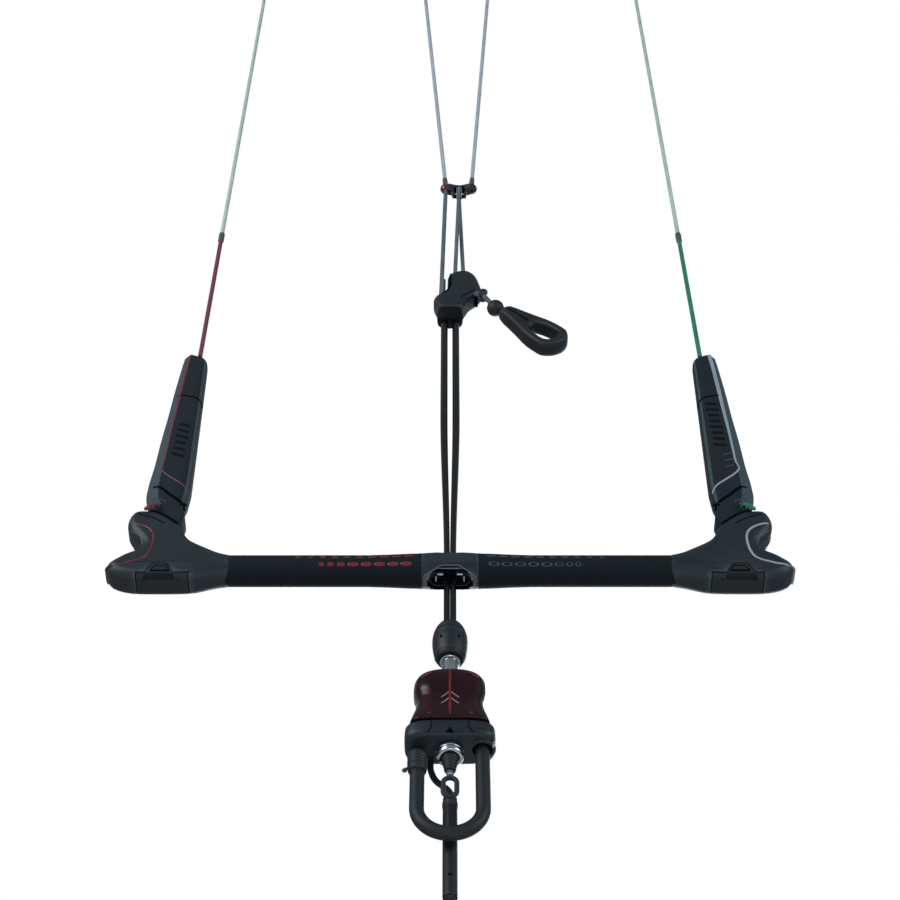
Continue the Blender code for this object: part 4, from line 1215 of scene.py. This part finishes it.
@dataclass
class Float:
    """A foam float: its knuckle, its body with a front face and an outer facet, and the trim on it."""

    side: Side
    heights: tuple[float, ...] = (66, 71, 80, 97, 129, 161, 195, 229, 266, 280, 286, 288)
    widths: tuple[float, ...] = (20, 25.5, 32.0, 34.6, 32.0, 30.1, 27.4, 25.2, 22.2, 20.6, 17.5, 14)
    depths: tuple[float, ...] = (17, 19, 22.4, 23.8, 23.4, 22.4, 21, 19, 17.4, 16, 13.6, 11)
    plan: list[tuple[float, float]] = field(default_factory=lambda: [
        (0.0, 0.62), (0.0, -0.62), (0.13, -1.0), (0.685, -1.0), (0.715, -0.97), (0.97, -0.34), (1.0, -0.1),
        (1.0, 0.5), (0.86, 0.94), (0.14, 1.0)])

    def inner(self, z: Any) -> Any:
        """The x of the float's inner edge: it leans evenly, and turns in near the base and the top.

        Args:
            z: The height, or several.

        Returns:
            The x at each height.
        """
        lean = 205 + 4 * (np.asarray(z, float) - 97) / 169
        low = np.interp(z, [66, 71, 80, 97], [210.5, 207.75, 206.1, 205.0])
        high = np.interp(z, [279, 288], [209.3, 211.8])
        return np.where(np.asarray(z) < 97, low, np.where(np.asarray(z) > 279, high, lean))

    def across(self, z: Any, share: Any) -> Any:
        """The x of a share of the width at a height, from the inner edge."""
        return self.inner(z) + np.interp(z, self.heights, self.widths) * share

    def stations(self) -> Array:
        """The body's heights with their widths and depths, as a smooth line through the given ones."""
        return through(np.c_[self.heights, self.widths, self.depths], 9)

    def front(self, x: Any, z: Any) -> Any:
        """The y of the body's front.

        Args:
            x: Distances from the bar's middle.
            z: Heights, one for each x.

        Returns:
            The y of the front at each point.
        """
        rows = self.stations()
        share = (x - self.inner(z)) / np.interp(z, rows[:, 0], rows[:, 1])
        plan = rounded(self.plan, 2, 0.22)
        plan = plan[plan[:, 1] < 0]
        plan = plan[np.argsort(plan[:, 0])]
        return np.interp(z, rows[:, 0], rows[:, 2]) / 2 * np.interp(share, plan[:, 0], plan[:, 1])

    @staticmethod
    def sloped(x: Any, z: Any) -> Any:
        """The height, drawn down on the inner side near the top so that the top slopes."""
        return z - 0.5 * np.clip((z - 258) / 30, 0, 1) ** 2 * np.clip(232 - x, 0, 40)

    def on_front(self, flat: Any, proud: float, per: int = 6) -> Array:
        """A smooth line on the front face.

        Args:
            flat: Rows of its x and z.
            proud: How far it stands off the face.
            per: How many points each stretch gets.

        Returns:
            The line's points.
        """
        line = through(flat, per)
        y = self.front(line[:, 0], line[:, 1]) - proud
        return mirrored(np.stack([line[:, 0], y, self.sloped(line[:, 0], line[:, 1])], 1), self.side.value)

    def body(self) -> None:
        """The plan is one outline of shares of width and depth, scaled at each height of the body."""
        plan = rounded(self.plan, 2, 0.22)
        stations = self.stations()
        z = np.clip(stations[:, 0], self.heights[0], self.heights[-1])
        x = self.inner(z)[:, None] + stations[:, 1:2] * plan[None, :, 0]
        y = stations[:, 2:3] / 2 * plan[None, :, 1]
        grid = np.stack([x * self.side.value, y, self.sloped(x, z[:, None] + 0 * x)], 2)
        name = "float_" + self.side.word
        piece = Piece(name + "_foam", name, FLOAT).add(grid).made(name)
        piece.data.materials.append(LIT_FOAM.material())
        columns, rows = len(plan), len(z)
        # Painted highlight: the outer facet and the inner edge get the pale foam, as if lit.
        share = (plan + np.roll(plan, -1, 0)) / 2
        pale = (share[:, 0] > 0.7) & (share[:, 1] < 0.3) | (share[:, 0] < 0.1) & (share[:, 1] < -0.6)
        index = np.zeros(len(piece.data.polygons), np.int32)
        index[:(rows - 1) * columns] = np.tile(pale.astype(np.int32), rows - 1)
        piece.data.polygons.foreach_set("material_index", index)

    def knuckle(self) -> None:
        """The round knuckle that turns in the cradle: a rounded disc about Y."""
        t = np.linspace(0, math.pi / 2, 6)
        edge = np.c_[13.4 + 1.5 * np.sin(t), 7.5 + 1.5 * np.cos(t)]
        profile = np.vstack([[(2.5, 8.4), (5.5, 9.0)], edge, edge[::-1] * (1, -1), [(5.5, -9.0), (2.5, -8.4)]])
        centre = (self.side.value * KNUCKLE[0], 0, KNUCKLE[1])
        name = "float_" + self.side.word
        Piece(name + "_knuckle", name, FLOAT).add(turned(profile, 72, "y", centre)).made()

    def trim(self) -> None:
        """The trim line down the facet's edge and across the base, the seams and the grooves, a painted shade strip
        for the line's hole, and a painted highlight on a ridge.
        """
        name, word = "float_" + self.side.word, self.side.word
        z = np.linspace(284, 122, 14)
        low = [(230.2, 114.6), (226.3, 106.8), (216.4, 97.4), (209.6, 91.4), (206.4, 85.6)]
        line = np.vstack([np.c_[self.across(z, 0.7), z], low])
        accent, wide = (RED, (0.9, 0.6, 0.55)) if self.side is Side.LEFT else (SILVER, (1.7, 1.15, 0.85))
        path = self.on_front(line, 0.0)
        wide = np.interp(np.linspace(0, 1, len(path)), [0.3, 0.5, 0.8], wide)
        Piece("float_trim_" + word, name, accent).add(swept(path, np.c_[wide, 0 * wide + 0.35], 12)).made()
        grooves = {
            "seam": ([(207.2, 208.6), (211.9, 213.1), (218.0, 215.3), (224.9, 217.0), (228.6, 217.6)], 1.0),
            "base_groove": ([(207.4, 70.6), (209.6, 72.6), (214.3, 76.2), (219.6, 80.4), (226.5, 87.4),
                             (233.4, 92.8)], 1.5),
            "side_groove": ([(206.9, 76.0), (208.4, 73.5), (210.4, 70.0)], 2.2),
            # The line's hole is not cut: a dark strip is painted shade where it is.
            "line_hole_shade": ([(224.2, 68.4), (226.6, 67.4), (229.0, 66.6)], 1.5)}
        for kind, (flat, half) in grooves.items():
            path = self.on_front(flat, -0.05)
            Piece(f"float_{kind}_{word}", name, GROOVE_AND_SHADE).add(swept(path, (half, 0.3), 10)).made()
        # A painted highlight: a pale foam strip where the base's ridge catches the light.
        ridge = self.on_front([(221.6, 72.6), (228, 76.0), (233.6, 79.4)], -0.05)
        Piece("float_ridge_" + word, name, LIT_FOAM).add(swept(ridge, (0.5, 0.4), 10)).made()

    def marks(self) -> None:
        """Plain embossed marks: six slanted bars on the left float, eight bars and three dashes on the right."""
        name, word = "float_" + self.side.word, self.side.word
        lean, low, count = (0.42, 131.0, 6) if self.side is Side.LEFT else (-0.1, 145.0, 8)
        piece = Piece("float_marks_" + word, name, EMBOSS)
        for k in range(count):
            x, z, half = 218.6 - 0.2 * k, low + 8.4 * k, 5.0 - 0.5 * (k % 3)
            ends = [(x - half, z - lean * half), (x, z), (x + half, z + lean * half)]
            piece.add(swept(self.on_front(ends, -0.05, 4), (1.7, 0.4), 12, power=4))
        piece.made()
        if self.side is Side.RIGHT:
            dashes = Piece("float_dashes_" + word, name, GREY)
            for z in 116.0 + 8.2 * np.arange(3):
                ends = [(219.2, z - 1.5), (226.2, z + 1.5)]
                dashes.add(swept(self.on_front(ends, -0.1, 4), (0.75, 0.3), 12, power=4))
            dashes.made()

    def knot(self) -> None:
        """The coloured knot of the leader below the float: a tuck with two wraps over it."""
        name, word, sign = "float_" + self.side.word, self.side.word, self.side.value
        finish = LINE_RED if self.side is Side.LEFT else LINE_GREEN
        path = through([(226.4, -8.4, 66.8), (227.3, -11.6, 66.0), (228.8, -13.8, 63.8), (231.2, -14.0, 62.0),
                        (233.6, -14.1, 59.8), (235.6, -14.0, 57.4)], 6)
        size = np.interp(np.linspace(0, 1, len(path)), [0, 0.35, 0.6, 0.9, 1], [0.9, 1.3, 1.4, 1.6, 1.2])
        tuck = swept(mirrored(path, sign), size[:, None], 18)
        Piece("leader_tuck_" + word, name, finish).add(tuck).made("leader_knot_" + word)
        wraps = (((232.2, -13.3, 58.4), (232.6, -15.4, 60.6), (233.6, -13.3, 63.2)),
                 ((230.0, -13.3, 60.0), (230.2, -15.2, 62.2), (231.2, -13.3, 64.6)))
        for k, wrap in enumerate(wraps):
            path = mirrored(through(wrap, 6), sign)
            Piece(f"leader_wrap_{k}_{word}", name, finish).add(swept(path, 0.95, 12, (0, 0, 1))).made()

    def build(self) -> None:
        """Makes the float and everything on it."""
        self.body()
        self.knuckle()
        self.trim()
        self.marks()
        self.knot()


@dataclass
class Stopper:
    """The stopper ball under the bar, its band and holes, and the swivel tube."""

    profile: list[tuple[float, float]] = field(default_factory=lambda: [
        (4.6, -61.6), (5.9, -62.1), (8, -63.2), (10.6, -68), (12.3, -74), (12.85, -80.5), (12.6, -86),
        (11.9, -91.5), (10.9, -96), (9.6, -98.8), (8.6, -99.0)])
    seams: tuple[float, float] = (-70.5, -77.6)
    skirt_top: float = -95.2

    def build(self) -> None:
        """Makes the ball from its profile, with a bell-shaped dip at each seam, and its skirt, its pits drawn as
        painted shade, and its stem.
        """
        line = evened(through(self.profile, 10), 120)
        line[:, 0] -= sum(0.45 * np.exp(-((line[:, 1] - seam) / 0.45) ** 2) for seam in self.seams)
        low = line[:, 1] < self.skirt_top
        body, skirt = line[~low], line[low]
        body = np.vstack([body, [(8, body[-1, 1])]])
        Piece("stopper_ball", "depower_unit", CHARCOAL).add(turned(body, 72)).made("stopper")
        skirt = np.vstack([[(8.0, skirt[0, 1] + 0.3)], [(skirt[0, 0] + 0.25, skirt[0, 1])], skirt[1:]])
        Piece("stopper_skirt", "depower_unit", RUBBER).add(turned(skirt, 72)).made()
        # Painted shade: a dark disc on the ball stands for each pit.
        for k, x in enumerate((-5.9, 5.9)):
            y = -math.sqrt(12.62**2 - x**2)
            pit = turned([(1.3, -0.25), (1.3, 1.2)], 20, "y", (x, y, -85.2))
            Piece(f"stopper_pit_{k}", "depower_unit", GROOVE_AND_SHADE).add(pit).made()
        stem = [(6.4, -99.2), (7.3, -99.4), (7.4, -100.0), (7.4, -101.2), (7.0, -101.7), (6.05, -102.0),
                (6.05, -122.0)]
        Piece("swivel_stem", "depower_unit", STEEL).add(turned(stem, 48)).made("swivel_tube")


@dataclass
class Release:
    """The quick release: the clear handle, the core and spring in it, the housing and what hangs below."""

    outside: list[tuple[float, float, float, float]] = field(default_factory=lambda: [
        (18.5, 13.5, -122.6, 2.6), (22.0, 15.0, -123.8, 2.7), (24.0, 15.7, -126.2, 2.8), (25.2, 16.2, -130.4, 2.9),
        (25.4, 16.4, -137, 3), (24.2, 15.8, -144, 3), (23.6, 15.4, -150, 3), (24.6, 15.6, -158, 3.6),
        (26.4, 16.4, -166, 4.6), (27.7, 16.95, -172.0, 5.2), (27.2, 16.5, -173, 5.2)])
    squareness: float = 2.6
    loop_x: float = 22.0
    ring_y: float = -8.5
    finger_y: float = 13.0

    def depth(self, z: Any) -> Any:
        """The handle's half depth at a height."""
        rows = np.array(self.outside)[::-1]
        return np.interp(z, rows[:, 2], rows[:, 1])

    def width(self, z: Any) -> Any:
        """The handle's half width at a height."""
        rows = np.array(self.outside)[::-1]
        return np.interp(z, rows[:, 2], rows[:, 0])

    def face(self, x: Any, z: Any, proud: float) -> Any:
        """The half depth of the handle's front: its squared oval, drawn in towards the sides.

        Args:
            x: Distances from the middle.
            z: Heights, one for each x.
            proud: How far it stands off the front.

        Returns:
            The half depth at each point.
        """
        power = self.squareness
        return self.depth(z) * (1 - (np.abs(x) / self.width(z)) ** power) ** (1 / power) + proud

    def handle(self) -> None:
        """The handle: squared ovals outside and a stepped bore inside, joined into one wall."""
        shell = ovals([(z, 0, 0, half_x, half_y, power) for half_x, half_y, z, power in self.outside], 96, 5)
        bore = turned([(12.6, -173), (12.6, -152.2), (8, -152), (8, -150), (11.6, -149.8), (11.6, -125.2),
                       (7.8, -125), (7.8, -122)], 96)
        Piece("handle_shell", "release_handle", CLEAR).add(np.vstack([shell, bore]), loop=True).made(
            "release_handle", sharp=50)

    def handle_marks(self) -> None:
        """What is raised on the handle's faces: a ridge, two chevrons and four bars on each, and rows of dots. The
        ridge, the bars and the dots are painted brighter red, as light showing through the clear handle.
        """
        body, steps = "release_handle", 24
        z = np.linspace(-124.5, -171.5, steps)
        wide = np.interp(np.arange(steps), [0, 3, 20, 23], [0.5, 0.95, 0.95, 0.6])
        chevron = np.array([(-6.2, -5.2), (-3.1, -2.4), (-1.2, -0.3), (0, 0), (1.2, -0.3), (3.1, -2.4),
                            (6.2, -5.2)])
        bars = (((12.5, -127.5), (19.5, -130.5)), ((13, -168.5), (21, -170.8)))
        for k, sign in enumerate((-1, 1)):
            ridge = np.stack([0 * z, sign * (self.depth(z) + 0.05), z], 1)
            Piece(f"handle_ridge_{k}", body, GLINT_RED).add(swept(ridge, np.c_[wide, np.full(steps, 0.55)], 14)).made()
            for j, low in enumerate((-147.4, -153.6)):
                x, high = through(chevron + (0, low), 4).T
                path = np.stack([x, sign * self.face(x, high, 0.05), high], 1)
                Piece(f"handle_arrow_{k}{j}", body, MARK).add(swept(path, (0.55, 0.3), 10)).made()
            for j, side in enumerate((-1, 1)):
                for n, (start, end) in enumerate(bars):
                    x, high = np.linspace(start, end, 10).T
                    path = np.stack([side * x, sign * self.face(x, high, -0.1), high], 1)
                    Piece(f"handle_bar_{k}{j}{n}", body, GLINT_RED).add(swept(path, (1.7, 0.7), 12, (0, 0, 1))).made()
        dots = Piece("handle_grip_dots", body, GLINT_RED)
        dot = [(0.2, -0.5), (0.75, -0.1), (0.75, 0.1), (0.2, 0.5)]
        for side in (-1, 1):
            for sign in (-1, 1):
                for high in np.linspace(-135, -163, 8):
                    x = 0.8 * float(self.width(high))
                    dots.add(turned(dot, 12, "y", (side * x, sign * float(self.face(x, high, 0)), high)))
        dots.made()

    def inside(self) -> None:
        """The core tube with its flange, and the spring round it."""
        core = [(5.4, -122.3), (7, -124), (7, -125.6), (10.7, -126), (11, -126.4), (11, -128.6), (10.7, -129),
                (7, -129.4), (7, -153.6), (11.4, -154), (12, -154.6), (12, -173.2)]
        Piece("core_tube", "release_unit", STEEL).add(turned(core, 48)).made("release_core")
        turns, radius, steps = 4, 9.3, 200
        t = np.linspace(0, 2 * turns * math.pi, steps)
        path = np.stack([radius * np.cos(t), radius * np.sin(t), np.linspace(-148.9, -130.1, steps)], 1)
        Piece("spring_wire", "release_unit", STEEL).add(swept(path, 0.8, 10, (0, 0, 1))).made(
            "return_spring", between=("release_handle", "release_unit", (0, 0, -149), (0, 0, -130)))

    def housing(self) -> None:
        """The housing: squared ovals, with the loop's socket cut into it, a notch drawn as painted shade, seams and
        a pin.
        """
        body = "release_unit"
        shape = [(z, 0, 0, half_x, half_y, 4) for z, half_x, half_y in (
            (-173.5, 27.2, 13.6), (-173.9, 28.6, 14.6), (-175.4, 30.6, 15.7), (-178, 31, 16), (-183.4, 31, 16),
            (-185.8, 30.3, 15.4), (-187.4, 28.6, 14.2), (-188, 27, 12.8))]
        centre = (self.loop_x, 0, 0)
        socket = Piece("socket", body, PANEL).add(turned([(7, -180), (7, -196)], 48, centre=centre))
        Piece("housing_shell", body, CHARCOAL).add(ovals(shape, 96, 4)).made("release_housing", cuts=[socket])
        # The notch is not cut: a dark triangle on each face is painted shade for it.
        notch = rounded([(-2.7, -186.6), (2.7, -186.6), (0, -181.6)], 1, 0.12)
        for k, sign in enumerate((-1, 1)):
            y = sorted((sign * 16.12, sign * 14.6))
            Piece(f"housing_notch_{k}", body, GROOVE_AND_SHADE).add(slab(notch, *y, 0.15, 2)).made()
            for j, side in enumerate((-1, 1)):
                x, z = through([(side * 13.5, -175.4), (side * 12.4, -179), (side * 13.0, -183),
                                (side * 15.5, -186.2)], 6).T
                inset = np.interp(z, [-187, -184, -178, -175.4], [0.9, 0, 0, 0.35])
                y = 16.0 * (1 - (np.abs(x) / 31) ** 4) ** 0.25 - inset
                path = np.stack([x, sign * (y - 0.03), z], 1)
                Piece(f"housing_seam_{k}{j}", body, GROOVE_AND_SHADE).add(swept(path, (0.45, 0.2), 8)).made()
        pin = [(0.5, -190.2), (1.2, -189.9), (1.3, -189), (1.3, -184), (0.8, -183.4)]
        Piece("housing_pin", body, STEEL).add(turned(pin, 24, "z", (29.0, -5.5, 0))).made()
        rim = [(7.0, -187.4), (7.1, -188.4), (8.6, -188.5), (9.2, -187.9), (9.2, -186.5), (7.0, -186.5)]
        Piece("socket_rim", body, RUBBER).add(turned(rim, 48, centre=centre), loop=True).made()

    def below(self) -> None:
        """The nut, the ribbed boot, the leash cord and the finger's strap."""
        body, ring, finger = "release_unit", self.ring_y, self.finger_y
        nut = [(6.9, -188.3), (8.2, -188.3), (9.2, -188.8), (9.4, -189.6), (9.4, -191.0), (8.9, -191.3),
               (8.9, -191.8), (9.4, -192.1), (9.4, -194.6), (9.1, -195.5), (8.4, -196), (6.9, -196)]
        Piece("nut_ring", body, STEEL).add(turned(nut, 72), loop=True).made("swivel_nut")
        cone = through([(6.5, -188.6), (6.5, -193), (6.0, -196.4), (5.3, -200), (4.4, -204), (3.7, -207.6),
                        (3.0, -208)], 8)
        cone[:, 0] += np.where(cone[:, 1] < -196.8, 0.22 * np.sin(cone[:, 1] * 2.6), 0)  # the ribs
        Piece("boot_ribbed", body, RUBBER).add(turned(cone, 48)).made("boot_cone")
        path = through([(0, 0, -208.2), (0, 0, -211), (0, -3.5, -214.8), (0, ring, -218.0), (0, ring, -219.4)], 8)
        Piece("leash_cord_braid", body, LINE_GREY).add(swept(path, 2.0, 18, (1, 0, 0))).made("leash_cord")
        path = through([(0, ring + 0.3, -217.4), (0, ring, -218.4), (0, ring, -219.2)], 4)
        Piece("leash_cord_whipping", body, TWINE).add(swept(path, (2.5, 2.4), 18)).made()
        path = through([(-13, 9, -188.6), (-13, 10.5, -197), (-9.5, 12.2, -205), (-2.5, finger, -211.5),
                        (0, finger, -215.5), (0, finger, -217.9)], 10)
        Piece("strap_webbing", body, RUBBER).add(swept(path, (2.2, 1.3), 16, power=4)).made("finger_strap")

    def loop(self) -> None:
        """The loop: a circle carried round a U, swollen into a ribbed collar on the left and a plug on the right."""
        x, rib_steps = self.loop_x, 40
        plug = [(x, z) for z in (-180.8, -184, -187, -190, -196, -203, -212, -222, -232)]
        leg = [(-x, z) for z in (-232, -222, -214, -210)]
        height = np.linspace(-209.3, -189.2, rib_steps)
        path = np.vstack([plug, arc((0, -241.4), x, 0, -180, 44), leg, np.c_[np.full(rib_steps, -x), height]])
        radius = np.full(len(path), 5.0)
        radius[:3] = (3.8, 4.6, 4.7)
        wide, pitch, dome_low, rib_low = 6.9, 2.9, -195.5, -207
        dome = np.sqrt(np.clip(wide**2 - np.maximum(height - dome_low, 0) ** 2, 0.4, None))
        ribs = np.where(height > rib_low, 0.35 * np.cos((height + 208) * 2 * math.pi / pitch), 0)
        foot = np.interp(height, [-209.3, -208.2, rib_low], [5.0, 6.4, 6.75])
        radius[-rib_steps:] = np.where(height > dome_low, dome, foot + ribs - 0.2)
        grid = swept(np.insert(path, 1, 0.0, axis=1), radius[:, None], 32)
        Piece("loop_tube", "chicken_loop", RUBBER).add(grid).made("chicken_loop")
        nub = turned([(0.8, -0.9), (1.7, -0.4), (1.8, 0.6), (1.0, 1.6)], 20, "z", (-x - 8.4, -2, -209.2))
        Piece("loop_nub", "chicken_loop", RUBBER).add(nub).made()
        link = swept(np.array([(-x - 6.0, -1, -206), (-x - 7.6, -1.5, -207.4), (-x - 8.4, -2, -209)]), 1.1, 12)
        Piece("loop_nub_stem", "chicken_loop", RUBBER).add(link).made()

    def hanging(self) -> None:
        """The leash ring, an oval wire, and the finger with its collar, and dark discs as painted shade for its
        dimples.
        """
        middle, side, bend, wire = -230.5, 3.75, 4.5, 1.75
        oval = np.vstack([arc((0, middle + side), bend, 0, 180, 20), arc((0, middle - side), bend, 180, 360, 20)])
        path = np.insert(evened(oval, 72, closed=True), 1, self.ring_y, axis=1)
        Piece("ring_wire", "leash_ring", RUBBER).add(swept(path, wire, 20, closed=True), loop=True).made(
            "leash_ring")
        centre = (0, self.finger_y, 0)
        profile = [(1.0, -219.0), (2.0, -219.5), (3.3, -221.0), (4.4, -223), (4.9, -228), (4.9, -300),
                   (4.7, -303.5), (4.2, -306), (3.0, -307.5), (1.4, -308)]
        line = evened(through(profile, 8), 150)
        Piece("finger_rod", "finger", RUBBER).add(turned(line, 48, centre=centre)).made("loop_finger")
        # Painted shade: a dark disc on each side stands for a dimple.
        for k, sign in enumerate((-1, 1)):
            pit = turned([(1.5, -0.15), (1.55, 0.5)], 24, "y", (0, self.finger_y + sign * 4.75, -290.5))
            Piece(f"finger_pit_{k}", "finger", GROOVE_AND_SHADE).add(pit).made()
        collar = [(4.9, -224.6), (5.25, -225), (5.25, -228.6), (4.9, -229)]
        Piece("finger_collar", "finger", RUBBER).add(turned(collar, 40, centre=centre)).made()

    def build(self) -> None:
        """Makes the release from the handle down."""
        self.handle()
        self.handle_marks()
        self.inside()
        self.housing()
        self.below()
        self.loop()
        self.hanging()


@dataclass
class Studio:
    """The camera, the floor, the soft lights and the pale surroundings."""

    eye: tuple[float, float, float] = (0.0, -0.9718, -2.2254)
    pitch: float = 143.4
    lens: float = 80.0

    def light(self, name: str, place: Point, power: float, size: float, aim: Point = (0, 0, -1.1)) -> None:
        """A square soft light that faces a point.

        Args:
            name: Its name.
            place: Where it stands, in metres.
            power: Its power in watts.
            size: The length of its sides.
            aim: The point that it faces.
        """
        data = bpy.data.lights.new(name, "AREA")
        data.energy, data.size, data.color = power, size, (0.84, 0.94, 1.0)
        lamp = bpy.data.objects.new(name, data)
        lamp.location = place
        away = np.array(place, float) - np.array(aim, float)
        flat = math.hypot(away[0], away[1])
        lamp.rotation_euler = (math.atan2(flat, away[2]), 0.0, math.atan2(away[1], away[0]) + math.pi / 2)
        bpy.context.collection.objects.link(lamp)

    def camera(self) -> None:
        """The camera, which looks up along the lines."""
        lens = bpy.data.cameras.new("camera")
        lens.lens, lens.sensor_width = self.lens, 36.0
        lens.clip_start, lens.clip_end = 0.05, 60.0
        camera = bpy.data.objects.new("camera", lens)
        camera.location = self.eye
        camera.rotation_euler = (math.radians(self.pitch), 0.0, 0.0)
        bpy.context.collection.objects.link(camera)
        bpy.context.scene.camera = camera

    def floor(self) -> None:
        """A wide pale floor under everything."""
        half, height = 9.0, -2.9
        corners = [(-half, -half, height), (half, -half, height), (half, half, height), (-half, half, height)]
        mesh = bpy.data.meshes.new("floor")
        mesh.from_pydata(corners, [], [[0, 1, 2, 3]])
        bench = Bench("floor_pale")
        skin = bench.add("BsdfPrincipled", {}, {"Base Color": (0.86, 0.86, 0.86, 1), "Roughness": 0.9})
        bench.add("OutputMaterial", {}, {"Surface": skin})
        mesh.materials.append(bench.material)
        floor = bpy.data.objects.new("floor", mesh)
        bpy.context.collection.objects.link(floor)

    def surroundings(self) -> None:
        """White where the camera sees them, and a soft pale blue where they light the bar."""
        world = bpy.data.worlds.new("pale_room")
        world.use_nodes = True
        tree = world.node_tree
        tree.nodes.clear()
        path, mix, out, soft, plain = (tree.nodes.new("ShaderNode" + kind) for kind in (
            "LightPath", "MixShader", "OutputWorld", "Background", "Background"))
        for node, colour, strength in ((soft, (0.78, 0.9, 1.0, 1), 0.3), (plain, (1, 1, 1, 1), 1.0)):
            node.inputs["Color"].default_value = colour
            node.inputs["Strength"].default_value = strength
        for k, start in enumerate((path.outputs["Is Camera Ray"], soft.outputs[0], plain.outputs[0])):
            tree.links.new(start, mix.inputs[k])
        tree.links.new(mix.outputs[0], out.inputs[0])
        bpy.context.scene.world = world

    def build(self) -> None:
        """Sets up the camera, the lights, the floor and the world."""
        bpy.context.scene.view_settings.view_transform = "Standard"
        self.camera()
        self.light("key", (-1.6, -1.5, -0.5), 34.0, 1.2)
        self.light("fill", (1.8, -1.3, -0.9), 20.0, 1.2)
        self.light("under", (0.1, -1.2, -2.7), 4.0, 0.9)
        self.light("back", (0.4, 1.6, -0.3), 26.0, 1.4)
        self.floor()
        self.surroundings()


def main() -> None:
    """Builds the studio, the cords and then every assembly."""
    logging.basicConfig(level=logging.INFO, format="%(name)s: %(message)s")
    Studio().build()
    Lines().build()
    assemblies = [Spreader(), TrimUnit(), SlideGear(), Grips(), BarEnd(Side.LEFT), BarEnd(Side.RIGHT),
                  Float(Side.LEFT), Float(Side.RIGHT), Stopper(), Release()]
    for assembly in assemblies:
        assembly.build()
        log.info("%s is done", type(assembly).__name__)


if __name__ == "__main__":
    main()
